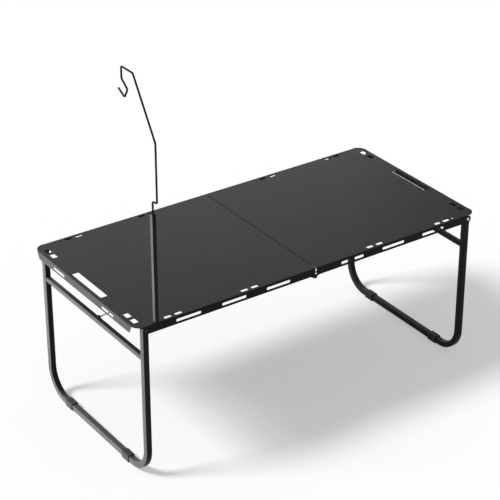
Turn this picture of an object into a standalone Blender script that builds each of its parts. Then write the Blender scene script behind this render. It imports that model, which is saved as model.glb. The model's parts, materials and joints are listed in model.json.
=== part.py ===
"""Folding camp table in black powder-coated steel.

Two slotted sheet trays meet at a hinge in the middle and fold with their undersides together.
Each tray carries a U-shaped leg of square tube that swings in under it, and a wire hook on the
leg's crossbar holds the open leg to the slot in the end flange. A square post with a bent-wire
lantern hanger stands on the front left corner. +X runs along the table, -Y is its front and the
origin is on the floor under the middle. All sizes are in metres.
"""
import math

import bmesh
import bpy
from mathutils import Matrix, Quaternion, Vector

# Table top
TABLE_LENGTH = 1.200
TABLE_DEPTH = 0.568
TABLE_HEIGHT = 0.500
SHEET = 0.0012
CORNER_RADIUS = 0.032
BEND_RADIUS = 0.0025
SEAM_BEND_RADIUS = 0.0014
SEAM_GAP = 0.0012
FLANGE_DEPTH = 0.024
SEAM_FLANGE_DEPTH = 0.016
SEAM_FLANGE_INSET = 0.022
EAR_REACH = 0.007
EAR_TAPER = 0.011

# Slots, given by their length, width and place from the edges
TOP_SLOT = (0.024, 0.011)
TOP_SLOT_PITCH = 0.035
LONG_EDGE_INSET = 0.014
SHORT_EDGE_INSET = 0.023
CORNER_SLOT_INSET = 0.110
MIDDLE_SLOT_INSET = 0.204
SHORT_EDGE_SLOT_INSET = 0.046
SMALL_HOLE_DIAMETER = 0.006
SMALL_HOLE_INSET = 0.084
HANDLE_SLOT = (0.162, 0.0225)
FLANGE_SLOT = (0.080, 0.0085)
FLANGE_SLOT_PITCH = 0.150
FLANGE_SLOT_START = 0.131
FLANGE_SLOTS_PER_HALF = 3
END_FLANGE_SLOT = (0.062, 0.009)
END_FLANGE_SLOT_OFFSET = 0.134
SLOT_DROP = 0.0125

# Middle hinge
FOLD_AXIS_DROP = 0.0045
HINGE_PLATE = 0.002
HINGE_PAD_START = 0.022
HINGE_PAD_END = 0.070
HINGE_PAD_HEIGHT = 0.013
HINGE_LOBE_RADIUS = 0.006
HINGE_JOGGLE = (0.012, 0.020)
HINGE_PIN_RADIUS = 0.003
HINGE_PIN_HEAD = (0.0040, 0.0014)
HINGE_WASHER = (0.0052, 0.0008)
HINGE_RIVET_X = (0.031, 0.061)
HINGE_RIVET_RADIUS = 0.0016
HINGE_RIVET_HEAD = (0.0030, 0.0008)
UPPER_NOTCH_RADIUS = 0.0030
UPPER_NOTCH_DROP = 0.0060
LOWER_NOTCH_WIDTH = 0.008
LOWER_NOTCH_DROP = 0.0152

# Legs
LEG_TUBE = 0.0182
LEG_WALL = 0.0012
LEG_CORNER = 0.0022
LEG_END_INSET = 0.0235
LEG_PIVOT_DROP = 0.0125
LEG_BEND_RADIUS = 0.089
LEG_WASHER = (0.0085, 0.0010)
PIVOT_RADIUS = 0.003
PIVOT_HEAD = (0.0045, 0.0016)
CROSSBAR_TUBE = 0.0146
CROSSBAR_CORNER = 0.0018
CROSSBAR_HEIGHT = 0.3935
SLEEVE_WALL = 0.0023
SLEEVE_LENGTH = 0.036
SLEEVE_INSET = 0.0312

# Leg lock hooks
HOOK_WIRE = 0.0035
HOOK_TAB = 0.0025
HOOK_TAB_WIDTH = 0.016
HOOK_PIVOT_RISE = 0.0072
HOOK_PIVOT_OFFSET = 0.030
HOOK_SLOT_OFFSET = 0.143
HOOK_SIDE_STEP = 0.0064
HOOK_TAIL = 0.0036
HOOK_FINGER = 0.005
HOOK_BEND = 0.004
HOOK_CLIP = (0.004, 0.0008)

# Lantern hanger
POST_TUBE = 0.012
POST_WALL = 0.0012
POST_CORNER = 0.0012
POST_LENGTH = 0.326
POST_END_INSET = 0.069
POST_EDGE_INSET = 0.008
POST_PLUG_HEIGHT = 0.016
POST_PLUG_SOCKET = 0.006
POST_CAP_LIP = 0.002
POST_CAP_DEPTH = 0.012
POST_SCREW_RADIUS = 0.0020
POST_SCREW_HEAD = (0.0048, 0.0012)
POST_SCREW_REACH = 0.008
ROD = 0.0055
ROD_BEND = 0.006
KINK_HEIGHT = 0.363
KINK_STEP = 0.022
KINK_RISE = 0.004
LEAN_START_HEIGHT = 0.538
ARM_HEIGHT = 0.6965
ARM_START = 0.079
ARM_LENGTH = 0.057
HOOK_DROP = 0.034
HOOK_THROAT = (0.107, 0.641)
HOOK_LOW = (0.123, 0.614)
HOOK_TIP = (0.153, 0.630)

# Fits
SEAT_GAP = 0.0003
HOLE_GAP = 0.0003

HALF_LENGTH = TABLE_LENGTH / 2
HALF_DEPTH = TABLE_DEPTH / 2
FLANGE_BOTTOM = TABLE_HEIGHT - FLANGE_DEPTH
UNDERSIDE = TABLE_HEIGHT - SHEET
FLANGE_INSIDE = HALF_DEPTH - SHEET
SLOT_HEIGHT = TABLE_HEIGHT - SLOT_DROP
FOLD_AXIS_HEIGHT = FLANGE_BOTTOM - FOLD_AXIS_DROP
LEG_PIVOT_X = HALF_LENGTH - LEG_END_INSET - LEG_TUBE / 2
LEG_PIVOT_Z = TABLE_HEIGHT - LEG_PIVOT_DROP
LEG_OUTSIDE = FLANGE_INSIDE - LEG_WASHER[1] - 2 * SEAT_GAP
LEG_INSIDE = LEG_OUTSIDE - LEG_TUBE
RAIL_HEIGHT = LEG_TUBE / 2 + SEAT_GAP + SLEEVE_WALL
SLEEVE_Y = LEG_OUTSIDE - LEG_BEND_RADIUS - SLEEVE_INSET
CROSSBAR_TOP = CROSSBAR_HEIGHT + CROSSBAR_TUBE / 2
HOOK_PIVOT_Z = CROSSBAR_TOP + HOOK_PIVOT_RISE
POST_X = -(HALF_LENGTH - POST_END_INSET)
POST_Y = -(HALF_DEPTH - POST_EDGE_INSET)
POST_BASE = TABLE_HEIGHT + SEAT_GAP
POST_TOP = POST_BASE + POST_LENGTH
SIDES = {"left": -1, "right": 1}
FACES = {"front": -1, "back": 1}


def clear_scene():
    """Remove whatever the open scene holds."""
    for item in list(bpy.context.scene.objects):
        bpy.data.objects.remove(item, do_unlink=True)


def collection(name):
    """Return a new collection linked to the scene."""
    group = bpy.data.collections.new(name)
    bpy.context.scene.collection.children.link(group)
    return group


def finish(name, colour, roughness, metallic):
    """Return a Principled material."""
    material = bpy.data.materials.new(name)
    material.use_nodes = True
    shader = material.node_tree.nodes["Principled BSDF"]
    shader.inputs["Base Color"].default_value = (*colour, 1.0)
    shader.inputs["Roughness"].default_value = roughness
    shader.inputs["Metallic"].default_value = metallic
    return material


clear_scene()
TABLE = collection("folding_camp_table")
CUTTERS = collection("cutters")
TOP_PAINT = finish("top_powder_coat", (0.050, 0.050, 0.048), 0.45, 0.2)
FRAME_PAINT = finish("frame_powder_coat", (0.018, 0.018, 0.018), 0.35, 0.2)
PLASTIC = finish("black_plastic", (0.012, 0.012, 0.012), 0.5, 0.0)
ZINC = finish("zinc_steel", (0.55, 0.56, 0.58), 0.3, 1.0)


def mesh_from(bm, name):
    """Turn a bmesh into mesh data and free it."""
    mesh = bpy.data.meshes.new(name)
    bm.to_mesh(mesh)
    bm.free()
    return mesh


def place(name, mesh, material, axis=None):
    """Add one sub-part; a moving one hangs from the empty on its joint's axis."""
    item = bpy.data.objects.new(name, mesh)
    TABLE.objects.link(item)
    mesh.materials.clear()
    mesh.materials.append(material)
    mesh.shade_smooth()
    mesh.set_sharp_from_angle(angle=math.radians(35))
    if axis is not None:
        mesh.transform(Matrix.Translation(-axis["centre"]))
        item.parent = axis["empty"]
    return item


def joint_axis(name, centre, parent=None):
    """Add an empty at a joint's axis, under the empty of the piece that carries it."""
    empty = bpy.data.objects.new(name, None)
    TABLE.objects.link(empty)
    empty.empty_display_size = 0.03
    if parent is not None:
        empty.parent = parent["empty"]
        empty.location = centre - parent["centre"]
    else:
        empty.location = centre
    return {"empty": empty, "centre": centre}


def cutter(name, mesh):
    """Add a cutting shape to the cutters' collection."""
    item = bpy.data.objects.new(name, mesh)
    CUTTERS.objects.link(item)
    item.hide_render = True
    item.display_type = "WIRE"
    return item


def thicken(item, thickness):
    """Give an open surface its sheet thickness, inward, with flat faces kept flat."""
    wall = item.modifiers.new("wall", "SOLIDIFY")
    wall.solidify_mode = "NON_MANIFOLD"
    wall.nonmanifold_thickness_mode = "CONSTRAINTS"
    wall.thickness = thickness
    wall.offset = -1


def combine(item, tool, operation="DIFFERENCE"):
    """Cut a tool out of a sub-part, or join the two."""
    modifier = item.modifiers.new(operation.lower() + "_" + tool.name, "BOOLEAN")
    modifier.operation = operation
    modifier.solver = "EXACT"
    modifier.object = tool


def circle(radius, centre=(0.0, 0.0), steps=20, start=0.0, sweep=360.0):
    """Points on a circle or, with a smaller sweep in degrees, on an arc with both its ends."""
    count = steps if sweep == 360.0 else steps + 1
    turns = (math.radians(start + sweep * i / steps) for i in range(count))
    return [(centre[0] + radius * math.cos(t), centre[1] + radius * math.sin(t)) for t in turns]


def slot(size, centre, upright=False):
    """Outline of a round-ended slot, long along the first axis or, if upright, the second."""
    reach = (size[0] - size[1]) / 2
    ends = circle(size[1] / 2, (reach, 0), 6, -90, 180) + circle(size[1] / 2, (-reach, 0), 6, 90, 180)
    if upright:
        ends = [(-y, x) for x, y in ends]
    return [(centre[0] + x, centre[1] + y) for x, y in ends]


def rounded_square(side, radius, centre=(0.0, 0.0)):
    """Outline of a square with round corners."""
    reach = side / 2 - radius
    points = []
    for turn, (x, y) in enumerate(((1, 1), (-1, 1), (-1, -1), (1, -1))):
        points += circle(radius, (centre[0] + x * reach, centre[1] + y * reach), 3, 90 * turn, 90)
    return points


def plate(outlines, thickness, turn=Matrix()):
    """Flat outlines, each a closed ring, extruded about their plane and turned into place."""
    curve = bpy.data.curves.new("outline", "CURVE")
    curve.dimensions = "2D"
    curve.fill_mode = "BOTH"
    curve.extrude = thickness / 2
    for points in outlines:
        ring = curve.splines.new("POLY")
        ring.points.add(len(points) - 1)
        for point, (x, y) in zip(ring.points, points):
            point.co = (x, y, 0.0, 1.0)
        ring.use_cyclic_u = True
    return curve_to_mesh(curve, turn)


def merged(meshes):
    """Put shapes that don't touch into one mesh, so that one Boolean cuts them all."""
    bm = bmesh.new()
    for mesh in meshes:
        bm.from_mesh(mesh)
    return mesh_from(bm, "shapes")


def wire(points, diameter, resolution=2):
    """Round wire along a line of points."""
    curve = bpy.data.curves.new("wire", "CURVE")
    curve.dimensions = "3D"
    curve.bevel_depth = diameter / 2
    curve.bevel_resolution = resolution
    curve.use_fill_caps = True
    spline = curve.splines.new("POLY")
    spline.points.add(len(points) - 1)
    for point, place_on in zip(spline.points, points):
        point.co = (*place_on, 1.0)
    return curve_to_mesh(curve, Matrix())


def curve_to_mesh(curve, turn):
    """Make a curve a welded, outward-facing mesh and remove the curve."""
    holder = bpy.data.objects.new("holder", curve)
    bpy.context.scene.collection.objects.link(holder)
    bpy.context.view_layer.update()
    shape = holder.evaluated_get(bpy.context.evaluated_depsgraph_get())
    mesh = bpy.data.meshes.new_from_object(shape)
    bpy.data.objects.remove(holder, do_unlink=True)
    bpy.data.curves.remove(curve)
    bm = bmesh.new()
    bm.from_mesh(mesh)
    bmesh.ops.remove_doubles(bm, verts=bm.verts, dist=1e-6)
    bmesh.ops.transform(bm, matrix=turn, verts=bm.verts)
    bmesh.ops.recalc_face_normals(bm, faces=bm.faces)
    bm.to_mesh(mesh)
    bm.free()
    return mesh


def facing(axis, centre):
    """Matrix that lays the outline's plane across an axis: Y keeps (x, z), X keeps (y, z)."""
    turns = {
        "X": Matrix(((0, 0, 1), (1, 0, 0), (0, 1, 0))).to_4x4(),
        "Y": Matrix(((1, 0, 0), (0, 0, -1), (0, 1, 0))).to_4x4(),
        "Z": Matrix(),
    }
    return Matrix.Translation(centre) @ turns[axis]


def round_path(corners, radius, steps=4):
    """Join straight runs with arcs of one radius at each inner corner."""
    path = [Vector(corners[0])]
    for before, corner, after in zip(corners, corners[1:], corners[2:]):
        into = (Vector(before) - Vector(corner)).normalized()
        away = (Vector(after) - Vector(corner)).normalized()
        half = into.angle(away) / 2
        middle = Vector(corner) + (into + away).normalized() * radius / math.sin(half)
        first = Vector(corner) + into * radius / math.tan(half) - middle
        turned = Quaternion(away.cross(into), math.pi - 2 * half)
        path += [middle + Quaternion().slerp(turned, i / steps) @ first for i in range(steps + 1)]
    return path + [Vector(corners[-1])]


def stack(discs, axis_turn):
    """Turned pin made of (radius, from, to) discs that share faces along one axis."""
    bm = bmesh.new()
    profile = []
    for radius, low, high in discs:
        profile += [(radius, low), (radius, high)]
    points = [bm.verts.new((r, 0.0, h)) for r, h in [(0.0, discs[0][1])] + profile + [(0.0, discs[-1][2])]]
    edges = [bm.edges.new(pair) for pair in zip(points, points[1:])]
    bmesh.ops.spin(bm, geom=points + edges, cent=(0, 0, 0), axis=(0, 0, 1), angle=math.tau, steps=20,
                   use_merge=True)
    bmesh.ops.remove_doubles(bm, verts=bm.verts, dist=1e-6)
    bmesh.ops.recalc_face_normals(bm, faces=bm.faces)
    bmesh.ops.transform(bm, matrix=axis_turn, verts=bm.verts)
    return mesh_from(bm, "pin")


def fold_flap(bm, start, end, outline):
    """Hang a flap from the fold line between two corners; its outline runs from start to end."""
    points = [bm.verts.new(point) for point in outline]
    bm.faces.new([end, start] + points)
    return bm.edges.get((start, end))


def tray_surface(side):
    """Outer skin of one tray: the flat top with its corner arcs and four folded flaps."""
    bm = bmesh.new()
    seam = SEAM_GAP / 2
    fold_x = HALF_LENGTH - CORNER_RADIUS
    fold_y = HALF_DEPTH - CORNER_RADIUS
    seam_y = HALF_DEPTH - SEAM_FLANGE_INSET

    def top(x, y):
        return bm.verts.new((side * x, y, TABLE_HEIGHT))

    corner = {}
    ring = []
    for face in (-1, 1):
        corner[face] = {
            "seam": top(seam, face * HALF_DEPTH),
            "long": top(fold_x, face * HALF_DEPTH),
            "short": top(HALF_LENGTH, face * fold_y),
            "inner": top(seam, face * seam_y),
        }
        arc = circle(CORNER_RADIUS, (fold_x, fold_y), 8, 0, 90)[1:-1]
        corner[face]["arc"] = [top(x, face * y) for x, y in arc]
    front, back = corner[-1], corner[1]
    ring += [front["inner"], front["seam"], front["long"]] + front["arc"][::-1]
    ring += [front["short"], back["short"]] + back["arc"] + [back["long"], back["seam"], back["inner"]]
    bm.faces.new(ring)

    lobe = LEG_PIVOT_Z - FLANGE_BOTTOM
    folds, seam_folds = [], []
    for face in (-1, 1):
        edge = circle(lobe, (LEG_PIVOT_X, LEG_PIVOT_Z), 8, 50, -140) + [(seam, FLANGE_BOTTOM)]
        flap = [(side * x, face * HALF_DEPTH, z) for x, z in edge]
        folds.append(fold_flap(bm, corner[face]["seam"], corner[face]["long"], flap[::-1]))
    ear_z = TABLE_HEIGHT - BEND_RADIUS - SHEET
    ends = [(fold_y + EAR_REACH, ear_z), (fold_y + EAR_REACH - EAR_TAPER, FLANGE_BOTTOM)]
    flap = [(side * HALF_LENGTH, y, z) for y, z in ends]
    flap += [(side * HALF_LENGTH, -y, z) for y, z in ends[::-1]]
    folds.append(fold_flap(bm, back["short"], front["short"], flap))
    seam_z = TABLE_HEIGHT - SEAM_FLANGE_DEPTH
    flap = [(side * seam, face * (seam_y - SEAM_FLANGE_DEPTH / 2), seam_z) for face in (1, -1)]
    seam_folds.append(fold_flap(bm, back["inner"], front["inner"], flap))

    bmesh.ops.recalc_face_normals(bm, faces=bm.faces)
    bmesh.ops.bevel(bm, geom=folds, offset=BEND_RADIUS, segments=3, profile=0.5, affect="EDGES")
    seam_edges = [e for e in bm.edges if e.is_manifold and all(abs(abs(v.co.x) - seam) < 1e-6
                  and v.co.z > TABLE_HEIGHT - 1e-6 for v in e.verts)]
    bmesh.ops.bevel(bm, geom=seam_edges, offset=SEAM_BEND_RADIUS, segments=2, profile=0.5,
                    affect="EDGES")
    bmesh.ops.remove_doubles(bm, verts=bm.verts, dist=1e-6)
    if max(bm.faces, key=lambda f: f.calc_area()).normal.z < 0:
        bmesh.ops.reverse_faces(bm, faces=bm.faces)
    return mesh_from(bm, "tray")


def top_slots(side):
    """Outlines of the slots and holes in one tray's top."""
    long_y = HALF_DEPTH - LONG_EDGE_INSET
    short_x = HALF_LENGTH - SHORT_EDGE_INSET
    from_corner = HALF_LENGTH - CORNER_SLOT_INSET
    outlines = [slot(HANDLE_SLOT, (side * short_x, 0), upright=True)]
    for face in (-1, 1):
        for step in (0, 1):
            shift = step * TOP_SLOT_PITCH
            outlines.append(slot(TOP_SLOT, (side * (from_corner - shift), face * long_y)))
            outlines.append(slot(TOP_SLOT, (side * (MIDDLE_SLOT_INSET + shift), face * long_y)))
            short_y = HALF_DEPTH - SHORT_EDGE_SLOT_INSET - shift
            outlines.append(slot(TOP_SLOT, (side * short_x, face * short_y), upright=True))
        if (side, face) != (-1, -1):
            hole = (side * (HALF_LENGTH - SMALL_HOLE_INSET), face * long_y)
            outlines.append(circle(SMALL_HOLE_DIAMETER / 2, hole, 10))
        else:
            outlines.append(circle(POST_SCREW_RADIUS + HOLE_GAP, (POST_X, POST_Y), 12))
    return outlines


def flange_slots(side):
    """Outlines of the slots, pivot hole and rivet holes in one tray's long flanges."""
    outlines = [circle(PIVOT_RADIUS + HOLE_GAP, (side * LEG_PIVOT_X, LEG_PIVOT_Z), 20)]
    for i in range(FLANGE_SLOTS_PER_HALF):
        slot_x = FLANGE_SLOT_START + i * FLANGE_SLOT_PITCH
        outlines.append(slot(FLANGE_SLOT, (side * slot_x, SLOT_HEIGHT)))
    for x in HINGE_RIVET_X:
        outlines.append(circle(HINGE_RIVET_RADIUS + HOLE_GAP, (side * x, SLOT_HEIGHT), 16))
    return outlines


def hinge_notches():
    """Outlines of the round notch and the open notch where the two trays' flanges meet."""
    low = LOWER_NOTCH_WIDTH / 2
    low_top = TABLE_HEIGHT - LOWER_NOTCH_DROP - low
    notch_base = low_top - FLANGE_DEPTH
    arch = circle(low, (0, low_top), 12, 0, 180) + [(-low, notch_base), (low, notch_base)]
    return [circle(UPPER_NOTCH_RADIUS, (0, TABLE_HEIGHT - UPPER_NOTCH_DROP), 16), arch]


def build_tray(name, side, axis):
    """One half of the top: folded sheet with its slots, pivot holes and hinge notches."""
    tray = place(name, tray_surface(side), TOP_PAINT, axis)
    thicken(tray, SHEET)

    above = facing("Z", Vector((0, 0, TABLE_HEIGHT)))
    at_end = facing("X", Vector((side * HALF_LENGTH, 0, 0)))
    through = TABLE_DEPTH + 4 * BEND_RADIUS
    end = [slot(END_FLANGE_SLOT, (face * END_FLANGE_SLOT_OFFSET, SLOT_HEIGHT)) for face in (-1, 1)]
    shapes = [
        plate(top_slots(side), 4 * SHEET, above),
        plate(flange_slots(side), through, facing("Y", Vector())),
        plate(end, 8 * SHEET, at_end),
    ]
    for face in (-1, 1):
        there = facing("Y", Vector((0, face * HALF_DEPTH, 0)))
        shapes.append(plate(hinge_notches(), 6 * SHEET, there))
    combine(tray, cutter(name + "_cutouts", merged(shapes)))
    return tray


def build_hinges(fold):
    """Two joggled pairs of hinge plates with their pins and washers."""
    lobe = circle(HINGE_LOBE_RADIUS, (0, FOLD_AXIS_HEIGHT), 12, 40, 260)
    pad_low = SLOT_HEIGHT - HINGE_PAD_HEIGHT / 2
    pad_high = SLOT_HEIGHT + HINGE_PAD_HEIGHT / 2
    pad = [(HINGE_PAD_START, FLANGE_BOTTOM + SHEET), (HINGE_PAD_START + 0.004, pad_low),
           (HINGE_PAD_END, pad_low), (HINGE_PAD_END, pad_high), (HINGE_PAD_START, pad_high)]
    holes = [circle(HINGE_PIN_RADIUS + HOLE_GAP, (0, FOLD_AXIS_HEIGHT), 20)]
    holes += [circle(HINGE_RIVET_RADIUS + HOLE_GAP, (x, SLOT_HEIGHT), 16) for x in HINGE_RIVET_X]
    step = HINGE_PLATE + HINGE_WASHER[1] + 2 * SEAT_GAP
    inside = FLANGE_INSIDE - SEAT_GAP
    for side_name, side in SIDES.items():
        outlines = [[(side * x, z) for x, z in ring] for ring in [lobe + pad] + holes]
        for face_name, face in FACES.items():
            middle = face * (inside - HINGE_PLATE / 2)
            mesh = plate(outlines, HINGE_PLATE, facing("Y", Vector((0, middle, 0))))
            if side_name == "right":
                joggle(mesh, -face * step)
            place(f"hinge_plate_{face_name}_{side_name}", mesh, FRAME_PAINT, fold if side > 0 else None)
    pin_length = 2 * HINGE_PLATE + HINGE_WASHER[1] + 4 * SEAT_GAP
    head, head_height = HINGE_PIN_HEAD
    pin = [(head, 0, head_height), (HINGE_PIN_RADIUS, head_height, head_height + pin_length),
           (head, head_height + pin_length, 2 * head_height + pin_length)]
    for face_name, face in FACES.items():
        outer = inside + SEAT_GAP + head_height
        spot = Matrix.Translation((0, face * outer, FOLD_AXIS_HEIGHT))
        inward = Matrix.Rotation(math.radians(90 * face), 4, "X")
        place(f"hinge_pin_{face_name}", stack(pin, spot @ inward), FRAME_PAINT)
        ring = [circle(r, (0, FOLD_AXIS_HEIGHT)) for r in (HINGE_WASHER[0], HINGE_PIN_RADIUS + HOLE_GAP)]
        middle = face * (inside - HINGE_PLATE - SEAT_GAP - HINGE_WASHER[1] / 2)
        washer = plate(ring, HINGE_WASHER[1], facing("Y", Vector((0, middle, 0))))
        place(f"hinge_washer_{face_name}", washer, PLASTIC)


def build_hinge_rivets(name, side, carrier):
    """Rivets flush with the flange that hold the two hinge plates of one tray."""
    head, head_height = HINGE_RIVET_HEAD
    grip = SHEET + HINGE_PLATE + 2 * SEAT_GAP
    rivet = [(HINGE_RIVET_RADIUS, 0, grip), (head, grip, grip + head_height)]
    for face_name, face in FACES.items():
        inward = Matrix.Rotation(math.radians(90 * face), 4, "X")
        for i, x in enumerate(HINGE_RIVET_X):
            spot = Matrix.Translation((side * x, face * HALF_DEPTH, SLOT_HEIGHT))
            label = "inner" if i == 0 else "outer"
            mesh = stack(rivet, spot @ inward)
            place(f"hinge_rivet_{face_name}_{name}_{label}", mesh, FRAME_PAINT, carrier)


def joggle(mesh, shift):
    """Set the lobe of a hinge plate inward past its neighbour, with a ramp between two bends."""
    bm = bmesh.new()
    bm.from_mesh(mesh)
    for bend in HINGE_JOGGLE:
        geom = bm.verts[:] + bm.edges[:] + bm.faces[:]
        bmesh.ops.bisect_plane(bm, geom=geom, plane_co=(bend, 0, 0), plane_no=(1, 0, 0), dist=1e-7)
    for vert in bm.verts:
        if vert.co.x < HINGE_JOGGLE[0] + 1e-6:
            vert.co.y += shift
    bmesh.ops.connect_verts_concave(bm, faces=bm.faces)
    bmesh.ops.recalc_face_normals(bm, faces=bm.faces)
    bm.to_mesh(mesh)
    bm.free()


def leg_skin(side):
    """Square tube swept down one upright, round the two bends and up the other."""
    bm = bmesh.new()
    centre_y = LEG_OUTSIDE - LEG_TUBE / 2
    top = LEG_PIVOT_Z + LEG_TUBE / 2
    bend = LEG_BEND_RADIUS - LEG_TUBE / 2
    profile = rounded_square(LEG_TUBE, LEG_CORNER, (side * LEG_PIVOT_X, -centre_y))
    loop = [bm.verts.new((x, y, top)) for x, y in profile]
    geom = [bm.edges.new((a, b)) for a, b in zip(loop, loop[1:] + loop[:1])]

    def run(geom, offset):
        made = bmesh.ops.extrude_edge_only(bm, edges=geom)["geom"]
        bmesh.ops.translate(bm, verts=[v for v in made if isinstance(v, bmesh.types.BMVert)], vec=offset)
        return [e for e in made if isinstance(e, bmesh.types.BMEdge)]

    def turn(geom, centre):
        made = bmesh.ops.spin(bm, geom=geom, cent=centre, axis=(1, 0, 0), angle=math.radians(90), steps=9)
        return [e for e in made["geom_last"] if isinstance(e, bmesh.types.BMEdge)]

    bend_z = RAIL_HEIGHT + bend
    geom = run(geom, (0, 0, bend_z - top))
    geom = turn(geom, (0, -centre_y + bend, bend_z))
    geom = run(geom, (0, 2 * (centre_y - bend), 0))
    geom = turn(geom, (0, centre_y - bend, bend_z))
    run(geom, (0, 0, top - bend_z))
    bmesh.ops.recalc_face_normals(bm, faces=bm.faces)
    outward = sum((f.calc_center_median() - Vector((side * LEG_PIVOT_X, 0, TABLE_HEIGHT / 3))).dot(f.normal)
                  * f.calc_area() for f in bm.faces)
    if outward < 0:
        bmesh.ops.reverse_faces(bm, faces=bm.faces)
    return mesh_from(bm, "leg")


def build_leg(name, side, axis):
    """U-shaped leg with its crossbar, foot sleeves, washers and pivot rivets."""
    frame = place(f"{name}_leg_frame", leg_skin(side), FRAME_PAINT, axis)
    thicken(frame, LEG_WALL)
    half = LEG_TUBE / 2
    crown = [(half, 0)] + circle(half, (0, 0), 10, 0, 180) + [(-half, 0)]
    rim = [(-half - SHEET, 0), (-half - SHEET, LEG_TUBE), (half + SHEET, LEG_TUBE), (half + SHEET, 0)]
    ends = facing("Y", Vector((side * LEG_PIVOT_X, 0, LEG_PIVOT_Z)))
    combine(frame, cutter(f"{name}_leg_crown", plate([crown[1:-1] + rim], TABLE_DEPTH, ends)))
    bore = [circle(PIVOT_RADIUS + HOLE_GAP, (0, 0), 20)]
    combine(frame, cutter(f"{name}_leg_bore", plate(bore, TABLE_DEPTH, ends)))

    rings = [rounded_square(CROSSBAR_TUBE, CROSSBAR_CORNER),
             rounded_square(CROSSBAR_TUBE - 2 * LEG_WALL, CROSSBAR_CORNER - LEG_WALL)]
    across = facing("Y", Vector((side * LEG_PIVOT_X, 0, CROSSBAR_HEIGHT)))
    place(f"{name}_crossbar", plate(rings, 2 * (LEG_INSIDE - SEAT_GAP), across), FRAME_PAINT, axis)

    bore = LEG_TUBE + 2 * SEAT_GAP
    rings = [rounded_square(bore + 2 * SLEEVE_WALL, LEG_CORNER + SLEEVE_WALL / 2),
             rounded_square(bore, LEG_CORNER)]
    for face_name, face in FACES.items():
        spot = facing("Y", Vector((side * LEG_PIVOT_X, face * SLEEVE_Y, RAIL_HEIGHT)))
        place(f"{name}_{face_name}_foot_sleeve", plate(rings, SLEEVE_LENGTH, spot), PLASTIC, axis)


def build_leg_pivots(name, side, carrier):
    """Rivets through the flange and the leg's top ends, with a washer under each leg wall."""
    head, head_height = PIVOT_HEAD
    grip = HALF_DEPTH - LEG_INSIDE + 2 * SEAT_GAP
    pin = [(head, 0, head_height), (PIVOT_RADIUS, head_height, head_height + grip),
           (head, head_height + grip, 2 * head_height + grip)]
    for face_name, face in FACES.items():
        outer = HALF_DEPTH + SEAT_GAP + head_height
        spot = Matrix.Translation((side * LEG_PIVOT_X, face * outer, LEG_PIVOT_Z))
        inward = Matrix.Rotation(math.radians(90 * face), 4, "X")
        place(f"{name}_{face_name}_leg_rivet", stack(pin, spot @ inward), ZINC, carrier)
        centre = (side * LEG_PIVOT_X, LEG_PIVOT_Z)
        ring = [circle(r, centre) for r in (LEG_WASHER[0], PIVOT_RADIUS + HOLE_GAP)]
        middle = face * (FLANGE_INSIDE - SEAT_GAP - LEG_WASHER[1] / 2)
        washer = plate(ring, LEG_WASHER[1], facing("Y", Vector((0, middle, 0))))
        place(f"{name}_{face_name}_leg_washer", washer, PLASTIC, carrier)


def build_lock_hook(name, side, leg, hook):
    """Wire hook on a tab of the crossbar; its finger reaches the slot in the end flange."""
    reach = HOOK_TAB_WIDTH / 2
    base = CROSSBAR_TOP + SEAT_GAP
    crown = circle(reach, (-HOOK_PIVOT_OFFSET, HOOK_PIVOT_Z - reach / 3), 10, 0, 180)
    outline = crown + [(-HOOK_PIVOT_OFFSET - reach, base), (-HOOK_PIVOT_OFFSET + reach, base)]
    hole = circle(HOOK_WIRE / 2 + HOLE_GAP, (-HOOK_PIVOT_OFFSET, HOOK_PIVOT_Z), 16)
    spot = facing("X", Vector((side * LEG_PIVOT_X, 0, 0)))
    place(f"{name}_hook_tab", plate([outline, hole], HOOK_TAB, spot), FRAME_PAINT, leg)

    tail_x = LEG_PIVOT_X + HOOK_TAB / 2 + HOOK_TAIL
    tip_x = HALF_LENGTH - SHEET - SEAT_GAP
    corners = [
        (side * tail_x, -HOOK_PIVOT_OFFSET, HOOK_PIVOT_Z),
        (side * (LEG_PIVOT_X - HOOK_SIDE_STEP), -HOOK_PIVOT_OFFSET, HOOK_PIVOT_Z),
        (side * (tip_x - HOOK_FINGER), -HOOK_SLOT_OFFSET, SLOT_HEIGHT),
        (side * tip_x, -HOOK_SLOT_OFFSET, SLOT_HEIGHT),
    ]
    place(f"{name}_lock_hook", wire(round_path(corners, HOOK_BEND), HOOK_WIRE), ZINC, hook)
    pivot = (-HOOK_PIVOT_OFFSET, HOOK_PIVOT_Z)
    ring = [circle(r, pivot, 16) for r in (HOOK_CLIP[0], HOOK_WIRE / 2 + HOLE_GAP)]
    clip_x = LEG_PIVOT_X + HOOK_TAB / 2 + SEAT_GAP + HOOK_CLIP[1] / 2
    spot = facing("X", Vector((side * clip_x, 0, 0)))
    place(f"{name}_hook_clip", plate(ring, HOOK_CLIP[1], spot), ZINC, hook)


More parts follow.
